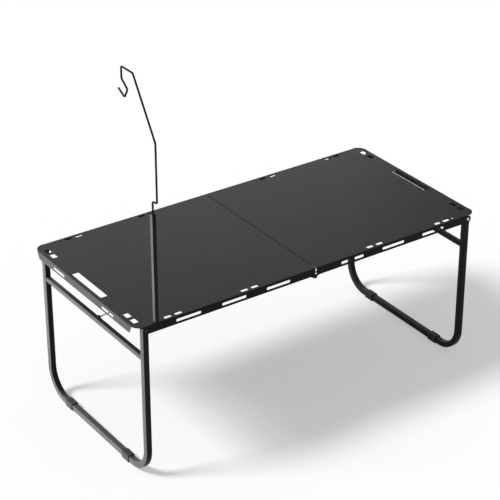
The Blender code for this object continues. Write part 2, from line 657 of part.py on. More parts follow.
def build_post():
    """Square post on the front left corner, held by a low screw from under the top."""
    inner = POST_TUBE - 2 * POST_WALL
    rings = [rounded_square(POST_TUBE, POST_CORNER), rounded_square(inner, POST_CORNER / 4)]
    spot = facing("Z", Vector((POST_X, POST_Y, POST_BASE + POST_LENGTH / 2)))
    place("hanger_post", plate(rings, POST_LENGTH, spot), FRAME_PAINT)
    bore = rounded_square(inner - 2 * SEAT_GAP, POST_CORNER / 4)
    spot = facing("Z", Vector((POST_X, POST_Y, POST_BASE + POST_PLUG_HEIGHT / 2)))
    plug = place("hanger_base_plug", plate([bore], POST_PLUG_HEIGHT, spot), ZINC)
    socket_base = POST_BASE + POST_PLUG_HEIGHT - POST_PLUG_SOCKET
    sockets = [[(ROD / 2 + HOLE_GAP, 0, 2 * POST_PLUG_SOCKET)],
               [(POST_SCREW_RADIUS + HOLE_GAP, 0, 2 * POST_SCREW_REACH)]]
    bases = (socket_base, POST_BASE - POST_SCREW_REACH - SEAT_GAP)
    for label, discs, base in zip(("rod", "screw"), sockets, bases):
        there = Matrix.Translation((POST_X, POST_Y, base))
        combine(plug, cutter(f"plug_{label}_socket", stack(discs, there)))
    lip_base = POST_TOP + SEAT_GAP
    lip_spot = facing("Z", Vector((POST_X, POST_Y, lip_base + POST_CAP_LIP / 2)))
    lip = plate([rounded_square(POST_TUBE, POST_CORNER)], POST_CAP_LIP, lip_spot)
    cap = place("hanger_post_cap", lip, PLASTIC)
    plug_length = POST_CAP_DEPTH + POST_CAP_LIP / 2
    plug_spot = facing("Z", Vector((POST_X, POST_Y, lip_base + POST_CAP_LIP / 2 - plug_length / 2)))
    combine(cap, cutter("cap_plug", plate([bore], plug_length, plug_spot)), "UNION")
    there = Matrix.Translation((POST_X, POST_Y, lip_base - 2 * POST_CAP_DEPTH))
    combine(cap, cutter("cap_bore", stack([(ROD / 2 + HOLE_GAP, 0, 4 * POST_CAP_DEPTH)], there)))
    head, head_height = POST_SCREW_HEAD
    under = UNDERSIDE - SEAT_GAP
    screw = [(head, 0, head_height), (POST_SCREW_RADIUS, head_height, head_height + POST_SCREW_REACH)]
    there = Matrix.Translation((POST_X, POST_Y, under - head_height))
    place("hanger_base_screw", stack(screw, there), ZINC)


def build_rod(swivel):
    """Bent wire that stands in the post and carries the lantern."""
    foot = POST_BASE + POST_PLUG_HEIGHT - POST_PLUG_SOCKET + SEAT_GAP
    side_view = [
        (0, foot - TABLE_HEIGHT),
        (0, KINK_HEIGHT),
        (-KINK_STEP, KINK_HEIGHT + KINK_RISE),
        (-KINK_STEP, LEAN_START_HEIGHT),
        (ARM_START, ARM_HEIGHT),
        (ARM_START + ARM_LENGTH, ARM_HEIGHT),
        (ARM_START + ARM_LENGTH, ARM_HEIGHT - HOOK_DROP),
        HOOK_THROAT,
        HOOK_LOW,
        HOOK_TIP,
    ]
    corners = [(POST_X, POST_Y + y, TABLE_HEIGHT + z) for y, z in side_view]
    place("hanger_rod", wire(round_path(corners, ROD_BEND), ROD), FRAME_PAINT, swivel)


def build_table():
    """Build every sub-part and hang the moving ones on their joints' axes."""
    fold = joint_axis("fold_axis", Vector((0, 0, FOLD_AXIS_HEIGHT)))
    for name, side in SIDES.items():
        half = fold if name == "right" else None
        build_tray(f"{name}_tray", side, half)
        leg = joint_axis(f"{name}_leg_axis", Vector((side * LEG_PIVOT_X, 0, LEG_PIVOT_Z)), half)
        hook_centre = Vector((side * LEG_PIVOT_X, -HOOK_PIVOT_OFFSET, HOOK_PIVOT_Z))
        hook = joint_axis(f"{name}_hook_axis", hook_centre, leg)
        build_leg(name, side, leg)
        build_leg_pivots(name, side, half)
        build_hinge_rivets(name, side, half)
        build_lock_hook(name, side, leg, hook)
    build_hinges(fold)
    build_post()
    build_rod(joint_axis("hanger_axis", Vector((POST_X, POST_Y, POST_TOP))))


build_table()
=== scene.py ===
"""Look of the folding camp table: sheet trays, tube legs, wire locks and lantern hanger.

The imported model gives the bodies, and every piece here is built in its frame, in metres, with
+X along the table, -Y to the front and the floor at z = 0.
"""
from __future__ import annotations

import json
import logging
import math
from dataclasses import dataclass, field
from enum import Enum

import bmesh
import bpy
import numpy as np
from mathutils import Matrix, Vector

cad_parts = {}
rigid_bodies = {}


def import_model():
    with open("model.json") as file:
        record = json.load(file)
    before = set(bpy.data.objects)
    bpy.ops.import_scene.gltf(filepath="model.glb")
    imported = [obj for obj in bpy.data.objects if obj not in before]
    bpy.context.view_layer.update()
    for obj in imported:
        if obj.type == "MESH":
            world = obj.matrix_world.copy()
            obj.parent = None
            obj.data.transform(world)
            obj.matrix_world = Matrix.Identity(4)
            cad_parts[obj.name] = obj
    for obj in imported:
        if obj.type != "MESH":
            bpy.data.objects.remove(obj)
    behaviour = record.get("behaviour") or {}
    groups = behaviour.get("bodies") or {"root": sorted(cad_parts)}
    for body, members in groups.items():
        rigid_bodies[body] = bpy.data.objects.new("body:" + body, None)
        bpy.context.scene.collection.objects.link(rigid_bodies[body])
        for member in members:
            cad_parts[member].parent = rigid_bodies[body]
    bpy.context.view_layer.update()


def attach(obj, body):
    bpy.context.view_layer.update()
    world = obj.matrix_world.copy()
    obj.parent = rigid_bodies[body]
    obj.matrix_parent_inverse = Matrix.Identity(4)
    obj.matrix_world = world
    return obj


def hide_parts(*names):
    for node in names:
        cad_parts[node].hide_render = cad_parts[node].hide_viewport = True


LOG = logging.getLogger("camp_table")
Colour = tuple[float, float, float]
Point = tuple[float, float, float]

# Sizes and places that several sub-assemblies share, in metres

TOP = 0.500
HALF_LENGTH = 0.600
HALF_DEPTH = 0.284
SHEET = 0.0012
# Clearance between pieces that seat on each other.
SEAT_GAP = 0.0003
# From the middle to the inner face of a long flange.
INSIDE = HALF_DEPTH - SHEET
# Height of the flange slots, the leg pivots and the hinge rivets.
SLOT_HEIGHT = TOP - 0.0125
# From the middle to the plane of a leg.
LEG_X = 0.5674
PIVOT_HOLE = 0.0033
# From the seam to each rivet of a hinge plate.
HINGE_RIVETS = {"inner": 0.031, "outer": 0.061}
HINGE_RIVET_HOLE = 0.0019
# x and y of the lantern post.
POST = (-0.531, -0.276)
# Half the length of a cut that goes through both long sides.
THROUGH = 0.3
# Turn in degrees above which an edge of a bent tube or wire counts as sharp.
TUBE_SHARP = 50.0


class Side(Enum):
    """The two halves of the table; the value is the sign of x."""

    LEFT = -1
    RIGHT = 1

    @property
    def label(self) -> str:
        """Return the half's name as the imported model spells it."""
        return self.name.lower()


class Face(Enum):
    """The long sides of the table; the value is the sign of y."""

    FRONT = -1
    BACK = 1

    @property
    def label(self) -> str:
        """Return the side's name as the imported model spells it."""
        return self.name.lower()


class Lay(Enum):
    """How a flat outline lies in space: the axis that its plane is square to."""

    ACROSS_X = ((0, 0, 1), (1, 0, 0), (0, 1, 0))
    ACROSS_Y = ((1, 0, 0), (0, 0, -1), (0, 1, 0))
    FLAT = ((1, 0, 0), (0, 1, 0), (0, 0, 1))

    def turn(self, points: np.ndarray) -> np.ndarray:
        """Turn (n, 3) points from the outline's own plane into this one."""
        return points @ np.array(self.value, float).T


# Outlines, as (n, 2) arrays of points


def arc(centre: tuple[float, float], radius: float, start: float, stop: float, steps: int) -> np.ndarray:
    """Points at equal angles on a circle, both ends included.

    Args:
        centre: The circle's centre.
        radius: Its radius.
        start: First angle in degrees.
        stop: Last angle in degrees.
        steps: How many chords lie between them.

    Returns:
        Centre plus radius times (cos, sin) of the angle, as (steps + 1, 2).
    """
    turn = np.radians(np.linspace(start, stop, steps + 1))
    return np.stack([np.cos(turn), np.sin(turn)], axis=1) * radius + np.array(centre)


def ring(centre: tuple[float, float], radius: float, steps: int = 32) -> np.ndarray:
    """Return a closed circle as (steps, 2) points."""
    return arc(centre, radius, 0, 360, steps)[:-1]


def slot(length: float, width: float, radius: float, centre: tuple[float, float] = (0.0, 0.0),
         upright: bool = False, steps: int = 6) -> np.ndarray:
    """Outline of a punched slot with rounded corners.

    Args:
        length: Length from end to end.
        width: Width across.
        radius: Corner radius, up to half the width.
        centre: The slot's middle.
        upright: Lay the length along the second axis.
        steps: Chords in each corner.

    Returns:
        Four quarter circles about the inner corners, anticlockwise, as (n, 2).
    """
    reach = np.array([length, width]) / 2 - radius
    corners = ((1, 1), (-1, 1), (-1, -1), (1, -1))
    points = np.concatenate([
        arc((x * reach[0], y * reach[1]), radius, 90 * i, 90 * i + 90, steps)
        for i, (x, y) in enumerate(corners)
    ])
    if upright:
        points = np.stack([-points[:, 1], points[:, 0]], axis=1)
    return points + np.array(centre)


def rounded_square(side: float, radius: float) -> np.ndarray:
    """Return the outline of a square with round corners about the origin."""
    return slot(side, side, radius, steps=5)


# Surfaces


@dataclass
class Surface:
    """Points and faces of a surface worked out as arrays.

    Attributes:
        points: (n, 3) positions in metres.
        faces: Corner indices of each face.
    """

    points: np.ndarray
    faces: list[list[int]]

    @staticmethod
    def join(parts: list[Surface]) -> Surface:
        """Put several surfaces into one list of points and faces.

        Args:
            parts: The surfaces.

        Returns:
            All of them as one surface.
        """
        starts = np.cumsum([0] + [len(part.points) for part in parts])
        faces = [[int(i + start) for i in face] for part, start in zip(parts, starts) for face in part.faces]
        return Surface(np.concatenate([part.points for part in parts]), faces)

    def flipped(self) -> Surface:
        """Return the surface with its faces pointing the other way."""
        return Surface(self.points, [face[::-1] for face in self.faces])

    def mirrored(self, sign: int) -> Surface:
        """Multiply x by a sign and keep the faces pointing outwards.

        Args:
            sign: 1 or -1.

        Returns:
            The surface itself, or its mirror image.
        """
        if sign > 0:
            return self
        return Surface(self.points * np.array([-1, 1, 1]), self.faces).flipped()

    def laid(self, lay: Lay) -> Surface:
        """Return the surface turned from its own plane into another one."""
        return Surface(lay.turn(self.points), self.faces)

    def moved(self, offset: Point) -> Surface:
        """Return the surface shifted by an offset."""
        return Surface(self.points + np.array(offset), self.faces)

    def mesh(self, name: str, weld: float = 1e-6) -> bpy.types.Mesh:
        """Make Blender's mesh and weld the points that coincide.

        Args:
            name: Name of the mesh.
            weld: Points closer than this become one.

        Returns:
            The mesh.
        """
        mesh = bpy.data.meshes.new(name)
        mesh.from_pydata(self.points.tolist(), [], self.faces)
        bm = bmesh.new()
        bm.from_mesh(mesh)
        bmesh.ops.remove_doubles(bm, verts=bm.verts, dist=weld)
        bm.to_mesh(mesh)
        bm.free()
        return mesh


def grid(rows: np.ndarray, wrap_rows: bool = False, wrap_columns: bool = False) -> Surface:
    """Quads over an array of points.

    Args:
        rows: (m, n, 3) points; neighbours in both directions share a quad.
        wrap_rows: Join the last row to the first.
        wrap_columns: Join the last column to the first.

    Returns:
        The surface, with one quad for each step in both directions.
    """
    m, n = rows.shape[:2]
    i = np.arange(m if wrap_rows else m - 1)[:, None]
    j = np.arange(n if wrap_columns else n - 1)[None, :]
    down, right = (i + 1) % m, (j + 1) % n
    quads = np.stack([i * n + j, i * n + right, down * n + right, down * n + j], axis=-1)
    return Surface(rows.reshape(-1, 3), quads.reshape(-1, 4).tolist())


def ribbon(line: np.ndarray, axis: int, start: float, stop: float) -> Surface:
    """An open strip: a line in one plane carried straight along an axis.

    Each point of the line comes twice, with the axis's coordinate at the start and at the stop.

    Args:
        line: (n, 2) points of the line, in the order of the two other axes.
        axis: 0, 1 or 2 for X, Y or Z.
        start: First place along the axis.
        stop: Last place along it.

    Returns:
        The strip, with one quad for each step of the line.
    """
    return grid(np.stack([np.insert(line, axis, place, axis=1) for place in (start, stop)], axis=1))


def sheet_face(outline: np.ndarray) -> Surface:
    """Return one flat face over an (n, 3) outline."""
    return Surface(outline, [list(range(len(outline)))])


def prism(outline: np.ndarray, low: float, high: float, lay: Lay) -> Surface:
    """Solid between two copies of an outline.

    Args:
        outline: (n, 2) points, anticlockwise.
        low: Where the first copy lies along the plane's normal.
        high: Where the second one lies.
        lay: The plane of the outline.

    Returns:
        A wall of quads with a face at each end, all pointing outwards.
    """
    count = len(outline)
    body = grid(np.stack([np.insert(outline, 2, level, axis=1) for level in (low, high)]), wrap_columns=True)
    body.faces += [list(range(count))[::-1], list(range(count, 2 * count))]
    return body.laid(lay)


def tube(section: np.ndarray, path: np.ndarray, across: Point, capped: bool = True) -> Surface:
    """A section carried along a flat path.

    At each point the section's first axis lies along the path's normal, which is the cross product
    of `across` and the tangent, and its second along `across`; the normal is stretched by one over
    the cosine of half the bend, so that the walls stay parallel.

    Args:
        section: (m, 2) closed outline.
        path: (n, 3) points in one plane.
        across: Unit normal of that plane.
        capped: Close both ends.

    Returns:
        The swept surface.
    """
    steps = np.diff(path, axis=0)
    steps /= np.linalg.norm(steps, axis=1)[:, None]
    before = np.concatenate([steps[:1], steps])
    after = np.concatenate([steps, steps[-1:]])
    tangent = before + after
    tangent /= np.linalg.norm(tangent, axis=1)[:, None]
    stretch = 1 / np.sum(tangent * before, axis=1)
    normal = np.cross(np.array(across, float), tangent) * stretch[:, None]
    rows = (
        path[:, None, :]
        + section[None, :, :1] * normal[:, None, :]
        + section[None, :, 1:] * np.array(across, float)[None, None, :]
    )
    body = grid(rows, wrap_columns=True)
    if capped:
        count, last = len(section), len(rows) * len(section)
        body.faces += [list(range(count))[::-1], list(range(last - count, last))]
    return outward(body)


def outward(body: Surface) -> Surface:
    """Turn a surface inside out if its faces point inwards.

    The volume is the sum of a . (b x c) / 6 over its triangles, and is negative if they do.

    Args:
        body: A closed surface, or a tube that is open at its ends.

    Returns:
        The surface with its faces pointing outwards.
    """
    corners = [(face[0], face[k], face[k + 1]) for face in body.faces for k in range(1, len(face) - 1)]
    a, b, c = (body.points[np.array(corners)[:, k]] for k in range(3))
    return body if np.sum(a * np.cross(b, c)) >= 0 else body.flipped()


def lathe(profile: np.ndarray, centre: Point, axis: Point, steps: int = 40, closed: bool = False) -> Surface:
    """A profile turned about an axis.

    Each point (r, h) of the profile becomes a circle of radius r at height h along the axis.

    Args:
        profile: (m, 2) radius and height.
        centre: Where the height is zero.
        axis: Unit direction of the axis, along X, Y or Z.
        steps: Points round the circle.
        closed: The profile's last point joins its first, as for a washer.

    Returns:
        The turned surface.
    """
    along = np.array(axis, float)
    first = np.roll(np.abs(along), 1)
    second = np.cross(along, first)
    turn = np.arange(steps) * (math.tau / steps)
    spokes = np.cos(turn)[:, None] * first + np.sin(turn)[:, None] * second
    rows = np.array(centre) + profile[:, :1, None] * spokes[None] + profile[:, 1:, None] * along
    return outward(grid(rows, wrap_rows=closed, wrap_columns=True))


def rounded_profile(corners: list[tuple[float, float]], radius: float, steps: int = 3) -> np.ndarray:
    """A polyline with its inner corners rounded.

    Where two sides meet at an angle, the arc's centre lies on the line that halves it, the radius
    over the sine of half the angle from the corner. The arc starts and ends the radius over the
    tangent of half the angle along the sides.

    Args:
        corners: (x, y) points of the polyline.
        radius: Largest fillet radius; it shrinks where a side is short.
        steps: Chords in each fillet.

    Returns:
        The points, each inner corner replaced by a circular arc tangent to both sides.
    """
    flat = np.array(corners, float)
    pieces = [flat[:1]]
    for before, corner, after in zip(flat, flat[1:], flat[2:]):
        into, away = before - corner, after - corner
        # A fillet takes just under half of the shorter side, so that two fit on it.
        reach = 0.49 * min(np.linalg.norm(into), np.linalg.norm(away))
        into, away = into / np.linalg.norm(into), away / np.linalg.norm(away)
        half = math.acos(float(np.clip(into @ away, -1, 1))) / 2
        round_off = min(radius, reach * math.tan(half))
        middle = corner + (into + away) / np.linalg.norm(into + away) * round_off / math.sin(half)
        first = corner + into * round_off / math.tan(half) - middle
        last = corner + away * round_off / math.tan(half) - middle
        share = np.linspace(0, 1, steps + 1)[:, None]
        sweep = math.pi - 2 * half
        weights = np.sin((1 - share) * sweep), np.sin(share * sweep)
        pieces.append(middle + (weights[0] * first + weights[1] * last) / math.sin(sweep))
    pieces.append(flat[-1:])
    return np.concatenate(pieces)


def hollow_bar(side: float, corner: float, wall: float, reach: float, rim: float = 0.0003) -> Surface:
    """Square tube along its own third axis, with rounded rims.

    Each ring is the tube's rounded square, drawn in by a depth d at height h. The pairs (d, h) run
    up the outside, round the rim, down the inside and round the other rim.

    Args:
        side: Width across the flats.
        corner: Outer corner radius.
        wall: Wall thickness.
        reach: Half its length.
        rim: Radius of the rims.

    Returns:
        The closed surface.
    """
    # Two rims have to fit on the wall.
    rim = min(rim, wall * 0.45)
    outer = arc((rim, reach - rim), rim, 180, 90, 4)
    inner = arc((wall - rim, reach - rim), rim, 90, 0, 4)
    upper = np.concatenate([outer, inner])
    lower = upper[::-1] * np.array([1, -1])
    sharpest = 0.0003
    rows = [
        np.insert(rounded_square(side - 2 * depth, max(corner - depth, sharpest)), 2, height, axis=1)
        for depth, height in np.concatenate([upper, lower])
    ]
    return outward(grid(np.array(rows), wrap_rows=True, wrap_columns=True))


# Finishes


def noise(nodes: bpy.types.Nodes, links: bpy.types.NodeLinks, size: float,
          detail: float) -> bpy.types.NodeSocket:
    """Add a noise pattern in the piece's own space.

    Args:
        nodes: The material's nodes.
        links: The material's links.
        size: Grain in metres.
        detail: Octaves of finer noise.

    Returns:
        The noise's value, about 0.5 on average.
    """
    place = nodes.get("place") or nodes.new("ShaderNodeTexCoord")
    place.name = "place"
    pattern = nodes.new("ShaderNodeTexNoise")
    pattern.inputs["Scale"].default_value = 1 / size
    pattern.inputs["Detail"].default_value = detail
    links.new(place.outputs["Object"], pattern.inputs["Vector"])
    return pattern.outputs["Fac"]


def spread(nodes: bpy.types.Nodes, links: bpy.types.NodeLinks, value: bpy.types.NodeSocket,
           low: float, high: float) -> bpy.types.NodeSocket:
    """Stretch a noise value of 0.3 to 0.7 over a range.

    Args:
        nodes: The material's nodes.
        links: The material's links.
        value: The noise.
        low: Result at 0.3.
        high: Result at 0.7.

    Returns:
        The stretched value.
    """
    scale = nodes.new("ShaderNodeMapRange")
    scale.inputs["From Min"].default_value = 0.3
    scale.inputs["From Max"].default_value = 0.7
    scale.inputs["To Min"].default_value = low
    scale.inputs["To Max"].default_value = high
    links.new(value, scale.inputs["Value"])
    return scale.outputs["Result"]


@dataclass(frozen=True)
class Finish:
    """A surface finish: one colour that drifts a little, with a fine relief.

    Attributes:
        name: Material name.
        slot: The record's material slot; not used.
        dark: Colour where the coat is thick.
        light: Colour where it is thin.
        roughness: Lowest and highest roughness.
        metallic: 1 for bare metal.
        grain: Size of the finest relief in metres.
        grain_depth: Its height in metres.
        peel: Size of the broader ripple in metres.
        peel_depth: Its height in metres.
        cloud: Size of the drift in colour and gloss in metres.
        specular: Strength of the clear reflection.
    """

    name: str
    slot: str
    dark: Colour
    light: Colour
    roughness: tuple[float, float]
    metallic: float = 0.0
    grain: float = 0.0005
    grain_depth: float = 0.000004
    peel: float = 0.003
    peel_depth: float = 0.000008
    cloud: float = 0.12
    specular: float = 0.5

    def material(self) -> bpy.types.Material:
        """Make the node material on first use.

        Returns:
            The material.
        """
        found = bpy.data.materials.get(self.name)
        if found:
            return found
        made = bpy.data.materials.new(self.name)
        made.use_nodes = True
        nodes, links = made.node_tree.nodes, made.node_tree.links
        shader = nodes["Principled BSDF"]
        shader.inputs["Metallic"].default_value = self.metallic
        shader.inputs["Specular IOR Level"].default_value = self.specular

        drift = noise(nodes, links, self.cloud, 4)
        tint = nodes.new("ShaderNodeMix")
        tint.data_type = "RGBA"
        tint.inputs["A"].default_value = (*self.dark, 1)
        tint.inputs["B"].default_value = (*self.light, 1)
        links.new(spread(nodes, links, drift, 0, 1), tint.inputs["Factor"])
        links.new(tint.outputs["Result"], shader.inputs["Base Color"])

        patches = noise(nodes, links, self.cloud / 6, 5)
        links.new(spread(nodes, links, patches, *self.roughness), shader.inputs["Roughness"])

        ripple = self.relief(nodes, links, self.peel, self.peel_depth, None)
        grit = self.relief(nodes, links, self.grain, self.grain_depth, ripple)
        links.new(grit, shader.inputs["Normal"])
        return made

    def relief(self, nodes: bpy.types.Nodes, links: bpy.types.NodeLinks, size: float, depth: float,
               under: bpy.types.NodeSocket | None) -> bpy.types.NodeSocket:
        """Add one layer of bump.

        Args:
            nodes: The material's nodes.
            links: The material's links.
            size: Grain in metres.
            depth: Height in metres.
            under: The normal below it, if any.

        Returns:
            The bumped normal.
        """
        bump = nodes.new("ShaderNodeBump")
        bump.inputs["Strength"].default_value = 1.0
        bump.inputs["Distance"].default_value = depth
        links.new(noise(nodes, links, size, 2), bump.inputs["Height"])
        if under is not None:
            links.new(under, bump.inputs["Normal"])
        return bump.outputs["Normal"]


TRAY_COAT = Finish("satin_black_tray_coat", "tray_powder_coat", (0.0096, 0.0096, 0.0094),
                   (0.0118, 0.0118, 0.0115), (0.38, 0.43), specular=0.07)
FRAME_COAT = Finish("black_frame_coat", "frame_powder_coat", (0.014, 0.014, 0.014), (0.018, 0.018, 0.018),
                    (0.30, 0.38), specular=0.07)
PLASTIC = Finish("moulded_plastic", "black_plastic", (0.0085, 0.0085, 0.0085), (0.0105, 0.0105, 0.0105),
                 (0.50, 0.60), grain=0.0008, grain_depth=0.000012, specular=0.16)
BRIGHT_ZINC = Finish("bright_zinc_steel", "zinc_steel", (0.50, 0.51, 0.52), (0.62, 0.63, 0.64),
                     (0.25, 0.38), metallic=1.0, grain=0.0004, grain_depth=0.000002, peel_depth=0.000003)
# Black zinc for the lock wires, their rings, the post's plug and screw; on the left pivot rivets it is
# painted shade.
BLACK_ZINC_AND_PAINTED_SHADE = Finish("black_zinc_steel", "zinc_steel", (0.006, 0.006, 0.0065), (0.009, 0.009, 0.0095),
                    (0.28, 0.38), grain=0.0004, grain_depth=0.000002, peel_depth=0.000003, specular=0.3)


# Assembly


def apply_modifiers(item: bpy.types.Object) -> bpy.types.Mesh:
    """Give an object the mesh that its modifiers make, and drop them.

    Args:
        item: The object.

    Returns:
        Its new mesh.
    """
    bpy.context.view_layer.update()
    shape = item.evaluated_get(bpy.context.evaluated_depsgraph_get())
    finished = bpy.data.meshes.new_from_object(shape)
    item.modifiers.clear()
    item.data = finished
    finished.name = item.name
    return finished


@dataclass
class Piece:
    """One finished piece of the scene, ready to be given its place on the frame.

    Attributes:
        name: Object name.
        surface: Its shape.
        finish: Its finish.
        body: The body that it moves with.
        nodes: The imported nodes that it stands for.
        wall: Thickness that an open skin is given, inwards.
        cutters: Shapes that are cut out of it.
        edge: Radius of the rounding along sharp edges.
        sharp: Edges that turn by more than this many degrees count as sharp.
    """

    name: str
    surface: Surface
    finish: Finish
    body: str
    nodes: tuple[str, ...]
    wall: float = 0.0
    cutters: list[Surface] = field(default_factory=list)
    edge: float = 0.0
    sharp: float = 38.0

    def build(self) -> bpy.types.Object:
        """Make the object, apply its walls, cuts and rounded edges, and put it on the frame.

        Returns:
            The finished object.
        """
        item = bpy.data.objects.new(self.name, self.surface.mesh(self.name))
        bpy.context.scene.collection.objects.link(item)
        tool = self.add_modifiers(item)
        finished = apply_modifiers(item)
        if tool is not None:
            bpy.data.objects.remove(tool, do_unlink=True)
            drop_slivers(finished)
        finished.materials.clear()
        finished.materials.append(self.finish.material())
        finished.shade_smooth()
        finished.set_sharp_from_angle(angle=math.radians(self.sharp))
        steady = item.modifiers.new("steady_normals", "WEIGHTED_NORMAL")
        steady.keep_sharp = True
        steady.weight = 100
        finished = apply_modifiers(item)
        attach(item, self.body)
        if self.nodes:
            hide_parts(*self.nodes)
        LOG.info("%s: %d faces, on %s", self.name, len(finished.polygons), self.body)
        return item

    def add_modifiers(self, item: bpy.types.Object) -> bpy.types.Object | None:
        """Add the wall, the cuts and the rounded edges to an object.

        Args:
            item: The object.

        Returns:
            The object that holds the cutting shapes, if there is one.
        """
        tool = None
        if self.wall:
            skin = item.modifiers.new("wall", "SOLIDIFY")
            skin.solidify_mode = "NON_MANIFOLD"
            skin.nonmanifold_thickness_mode = "CONSTRAINTS"
            skin.thickness = self.wall
            skin.offset = -1
        if self.cutters:
            tool = bpy.data.objects.new(self.name + "_cuts", Surface.join(self.cutters).mesh("cuts"))
            bpy.context.scene.collection.objects.link(tool)
            cut = item.modifiers.new("cut", "BOOLEAN")
            cut.operation = "DIFFERENCE"
            cut.solver = "EXACT"
            cut.object = tool
        if self.edge:
            rounding = item.modifiers.new("edges", "BEVEL")
            rounding.width = self.edge
            rounding.segments = 2
            rounding.limit_method = "ANGLE"
            rounding.angle_limit = math.radians(self.sharp)
            rounding.use_clamp_overlap = False
        return tool


def drop_slivers(mesh: bpy.types.Mesh, shortest: float = 2e-6) -> None:
    """Cut a mesh's many-sided faces into triangles and collapse those that have no area.

    Args:
        mesh: The mesh that a cut left behind; it is changed in place.
        shortest: Edges under this length are collapsed.
    """
    shape = bmesh.new()
    shape.from_mesh(mesh)
    bmesh.ops.triangulate(shape, faces=[face for face in shape.faces if len(face.verts) > 4])
    bmesh.ops.dissolve_degenerate(shape, dist=shortest, edges=shape.edges)
    shape.to_mesh(mesh)
    shape.free()


@dataclass
class TableTop:
    """The two sheet trays, with their slots and folded flanges.

    A slot's size is its length, its width and its corner radius.

    Attributes:
        corner: Radius of the top's corners in plan.
        bend: Outer radius of the folds along the edges.
        seam_bend: The same along the seam.
        relief: Width of the cut beside each end of a fold.
        seam: From the middle of the table to the tray's inner edge.
        seam_inset: How far the seam's fold stops short of the long edges.
        drop: Depth of the long and end flanges.
        seam_drop: Depth of the seam's flange.
        ear_reach: How far the end flange reaches past its fold on each side.
        ear_taper: How far its lower corners stand back from there.
        ear_chip: Width and height of the chips off its upper corners.
        hand_slot: Size of the carrying slot.
        short_inset: From the end to the middle line of the slots beside it.
        short_edge_slot: Size of the small slots beside the carrying slot.
        short_slot_y: Their places.
        long_inset: From a long edge to the middle line of the slots beside it.
        long_edge_slot: Size of the small slots there.
        long_slot_x: Their places.
        small_hole_x: Place of the small round hole near each corner.
        small_hole: Its radius.
        screw_hole: Radius of the hole under the lantern post.
        flange_slot: Size of the slots in the long flanges.
        flange_slot_x: Their places.
        end_slot: Size of the slots in the end flange.
        end_slot_place: y and z of their middles.
        upper_notch: Depth below the top and radius of the round notch over each hinge.
        lower_notch: Depth below the top and half width of the arched notch in the flange's edge.
        margin: How far a cut goes past the face that it starts from.
        edge: Rounding of the cut edges.
    """

    corner: float = 0.032
    bend: float = 0.0025
    seam_bend: float = 0.0014
    relief: float = 0.0008
    seam: float = 0.0006
    seam_inset: float = 0.022
    drop: float = 0.024
    seam_drop: float = 0.016
    ear_reach: float = 0.007
    ear_taper: float = 0.011
    ear_chip: tuple[float, float] = (0.0008, 0.0012)
    hand_slot: tuple[float, float, float] = (0.1605, 0.0212, 0.003)
    short_inset: float = 0.023
    short_edge_slot: tuple[float, float, float] = (0.0225, 0.0155, 0.002)
    short_slot_y: tuple[float, ...] = (0.203, 0.238)
    long_inset: float = 0.014
    long_edge_slot: tuple[float, float, float] = (0.022, 0.0102, 0.003)
    long_slot_x: tuple[float, ...] = (0.204, 0.2385, 0.4565, 0.491)
    small_hole_x: float = 0.516
    small_hole: float = 0.003
    screw_hole: float = 0.0023
    flange_slot: tuple[float, float, float] = (0.080, 0.0085, 0.0025)
    flange_slot_x: tuple[float, ...] = (0.131, 0.281, 0.431)
    end_slot: tuple[float, float, float] = (0.062, 0.0088, 0.0025)
    end_slot_place: tuple[float, float] = (0.134, SLOT_HEIGHT - 0.002)
    upper_notch: tuple[float, float] = (0.006, 0.003)
    lower_notch: tuple[float, float] = (0.0152, 0.004)
    margin: float = 0.005
    edge: float = 0.00028

    def pieces(self) -> list[Piece]:
        """Return both trays."""
        return [self.tray(side) for side in Side]

    def tray(self, side: Side) -> Piece:
        """One tray: folded skin, then sheet thickness, slots and rounded edges.

        Args:
            side: The half that it makes.

        Returns:
            The tray.
        """
        return Piece(
            f"{side.label}_tray_sheet", self.skin().mirrored(side.value), TRAY_COAT, f"{side.label}_half",
            (f"{side.label}_tray",), wall=SHEET, cutters=self.top_cuts(side) + self.flange_cuts(side),
            edge=self.edge,
        )

    def skin(self) -> Surface:
        """Outer skin of the right tray.

        The flat top ends where its folds begin. Each fold is an arc carried straight along its
        line, and each flange is a flat face that starts where the fold ends.

        Returns:
            The joined surface.
        """
        fold_x, fold_y = HALF_LENGTH - self.corner, HALF_DEPTH - self.corner
        seam_y = HALF_DEPTH - self.seam_inset
        parts = [self.flat_top(fold_x, fold_y, seam_y)]
        for face in Face:
            parts += self.long_edge(face, fold_x)
        parts += self.end_edge(fold_y)
        centre = (self.seam + self.seam_bend, TOP - self.seam_bend)
        bow = np.concatenate([arc(centre, self.seam_bend, 90, 180, 4), [[self.seam, TOP - self.seam_drop]]])
        parts.append(ribbon(bow, 1, -seam_y, seam_y))
        return Surface.join(parts)

    def flat_top(self, fold_x: float, fold_y: float, seam_y: float) -> Surface:
        """Flat part of the right tray's top.

        Args:
            fold_x: Where the long folds end.
            fold_y: Where the end's fold ends.
            seam_y: Where the seam's fold ends.

        Returns:
            One face, cut back beside each end of a fold and round at the corners.
        """
        edge_x, edge_y = HALF_LENGTH - self.bend, HALF_DEPTH - self.bend
        quarter = arc((fold_x, fold_y), self.corner, 0, 90, 14)
        quarter[0, 1] += self.relief
        quarter[-1, 0] += self.relief
        back = np.concatenate([
            [[edge_x, fold_y], [edge_x, fold_y + self.relief]], quarter,
            [[fold_x + self.relief, edge_y], [fold_x, edge_y], [self.seam, edge_y]],
            [[self.seam, seam_y], [self.seam + self.seam_bend, seam_y]],
        ])
        outline = np.concatenate([back, back[::-1] * np.array([1, -1])])
        return sheet_face(np.insert(outline, 2, TOP, axis=1))

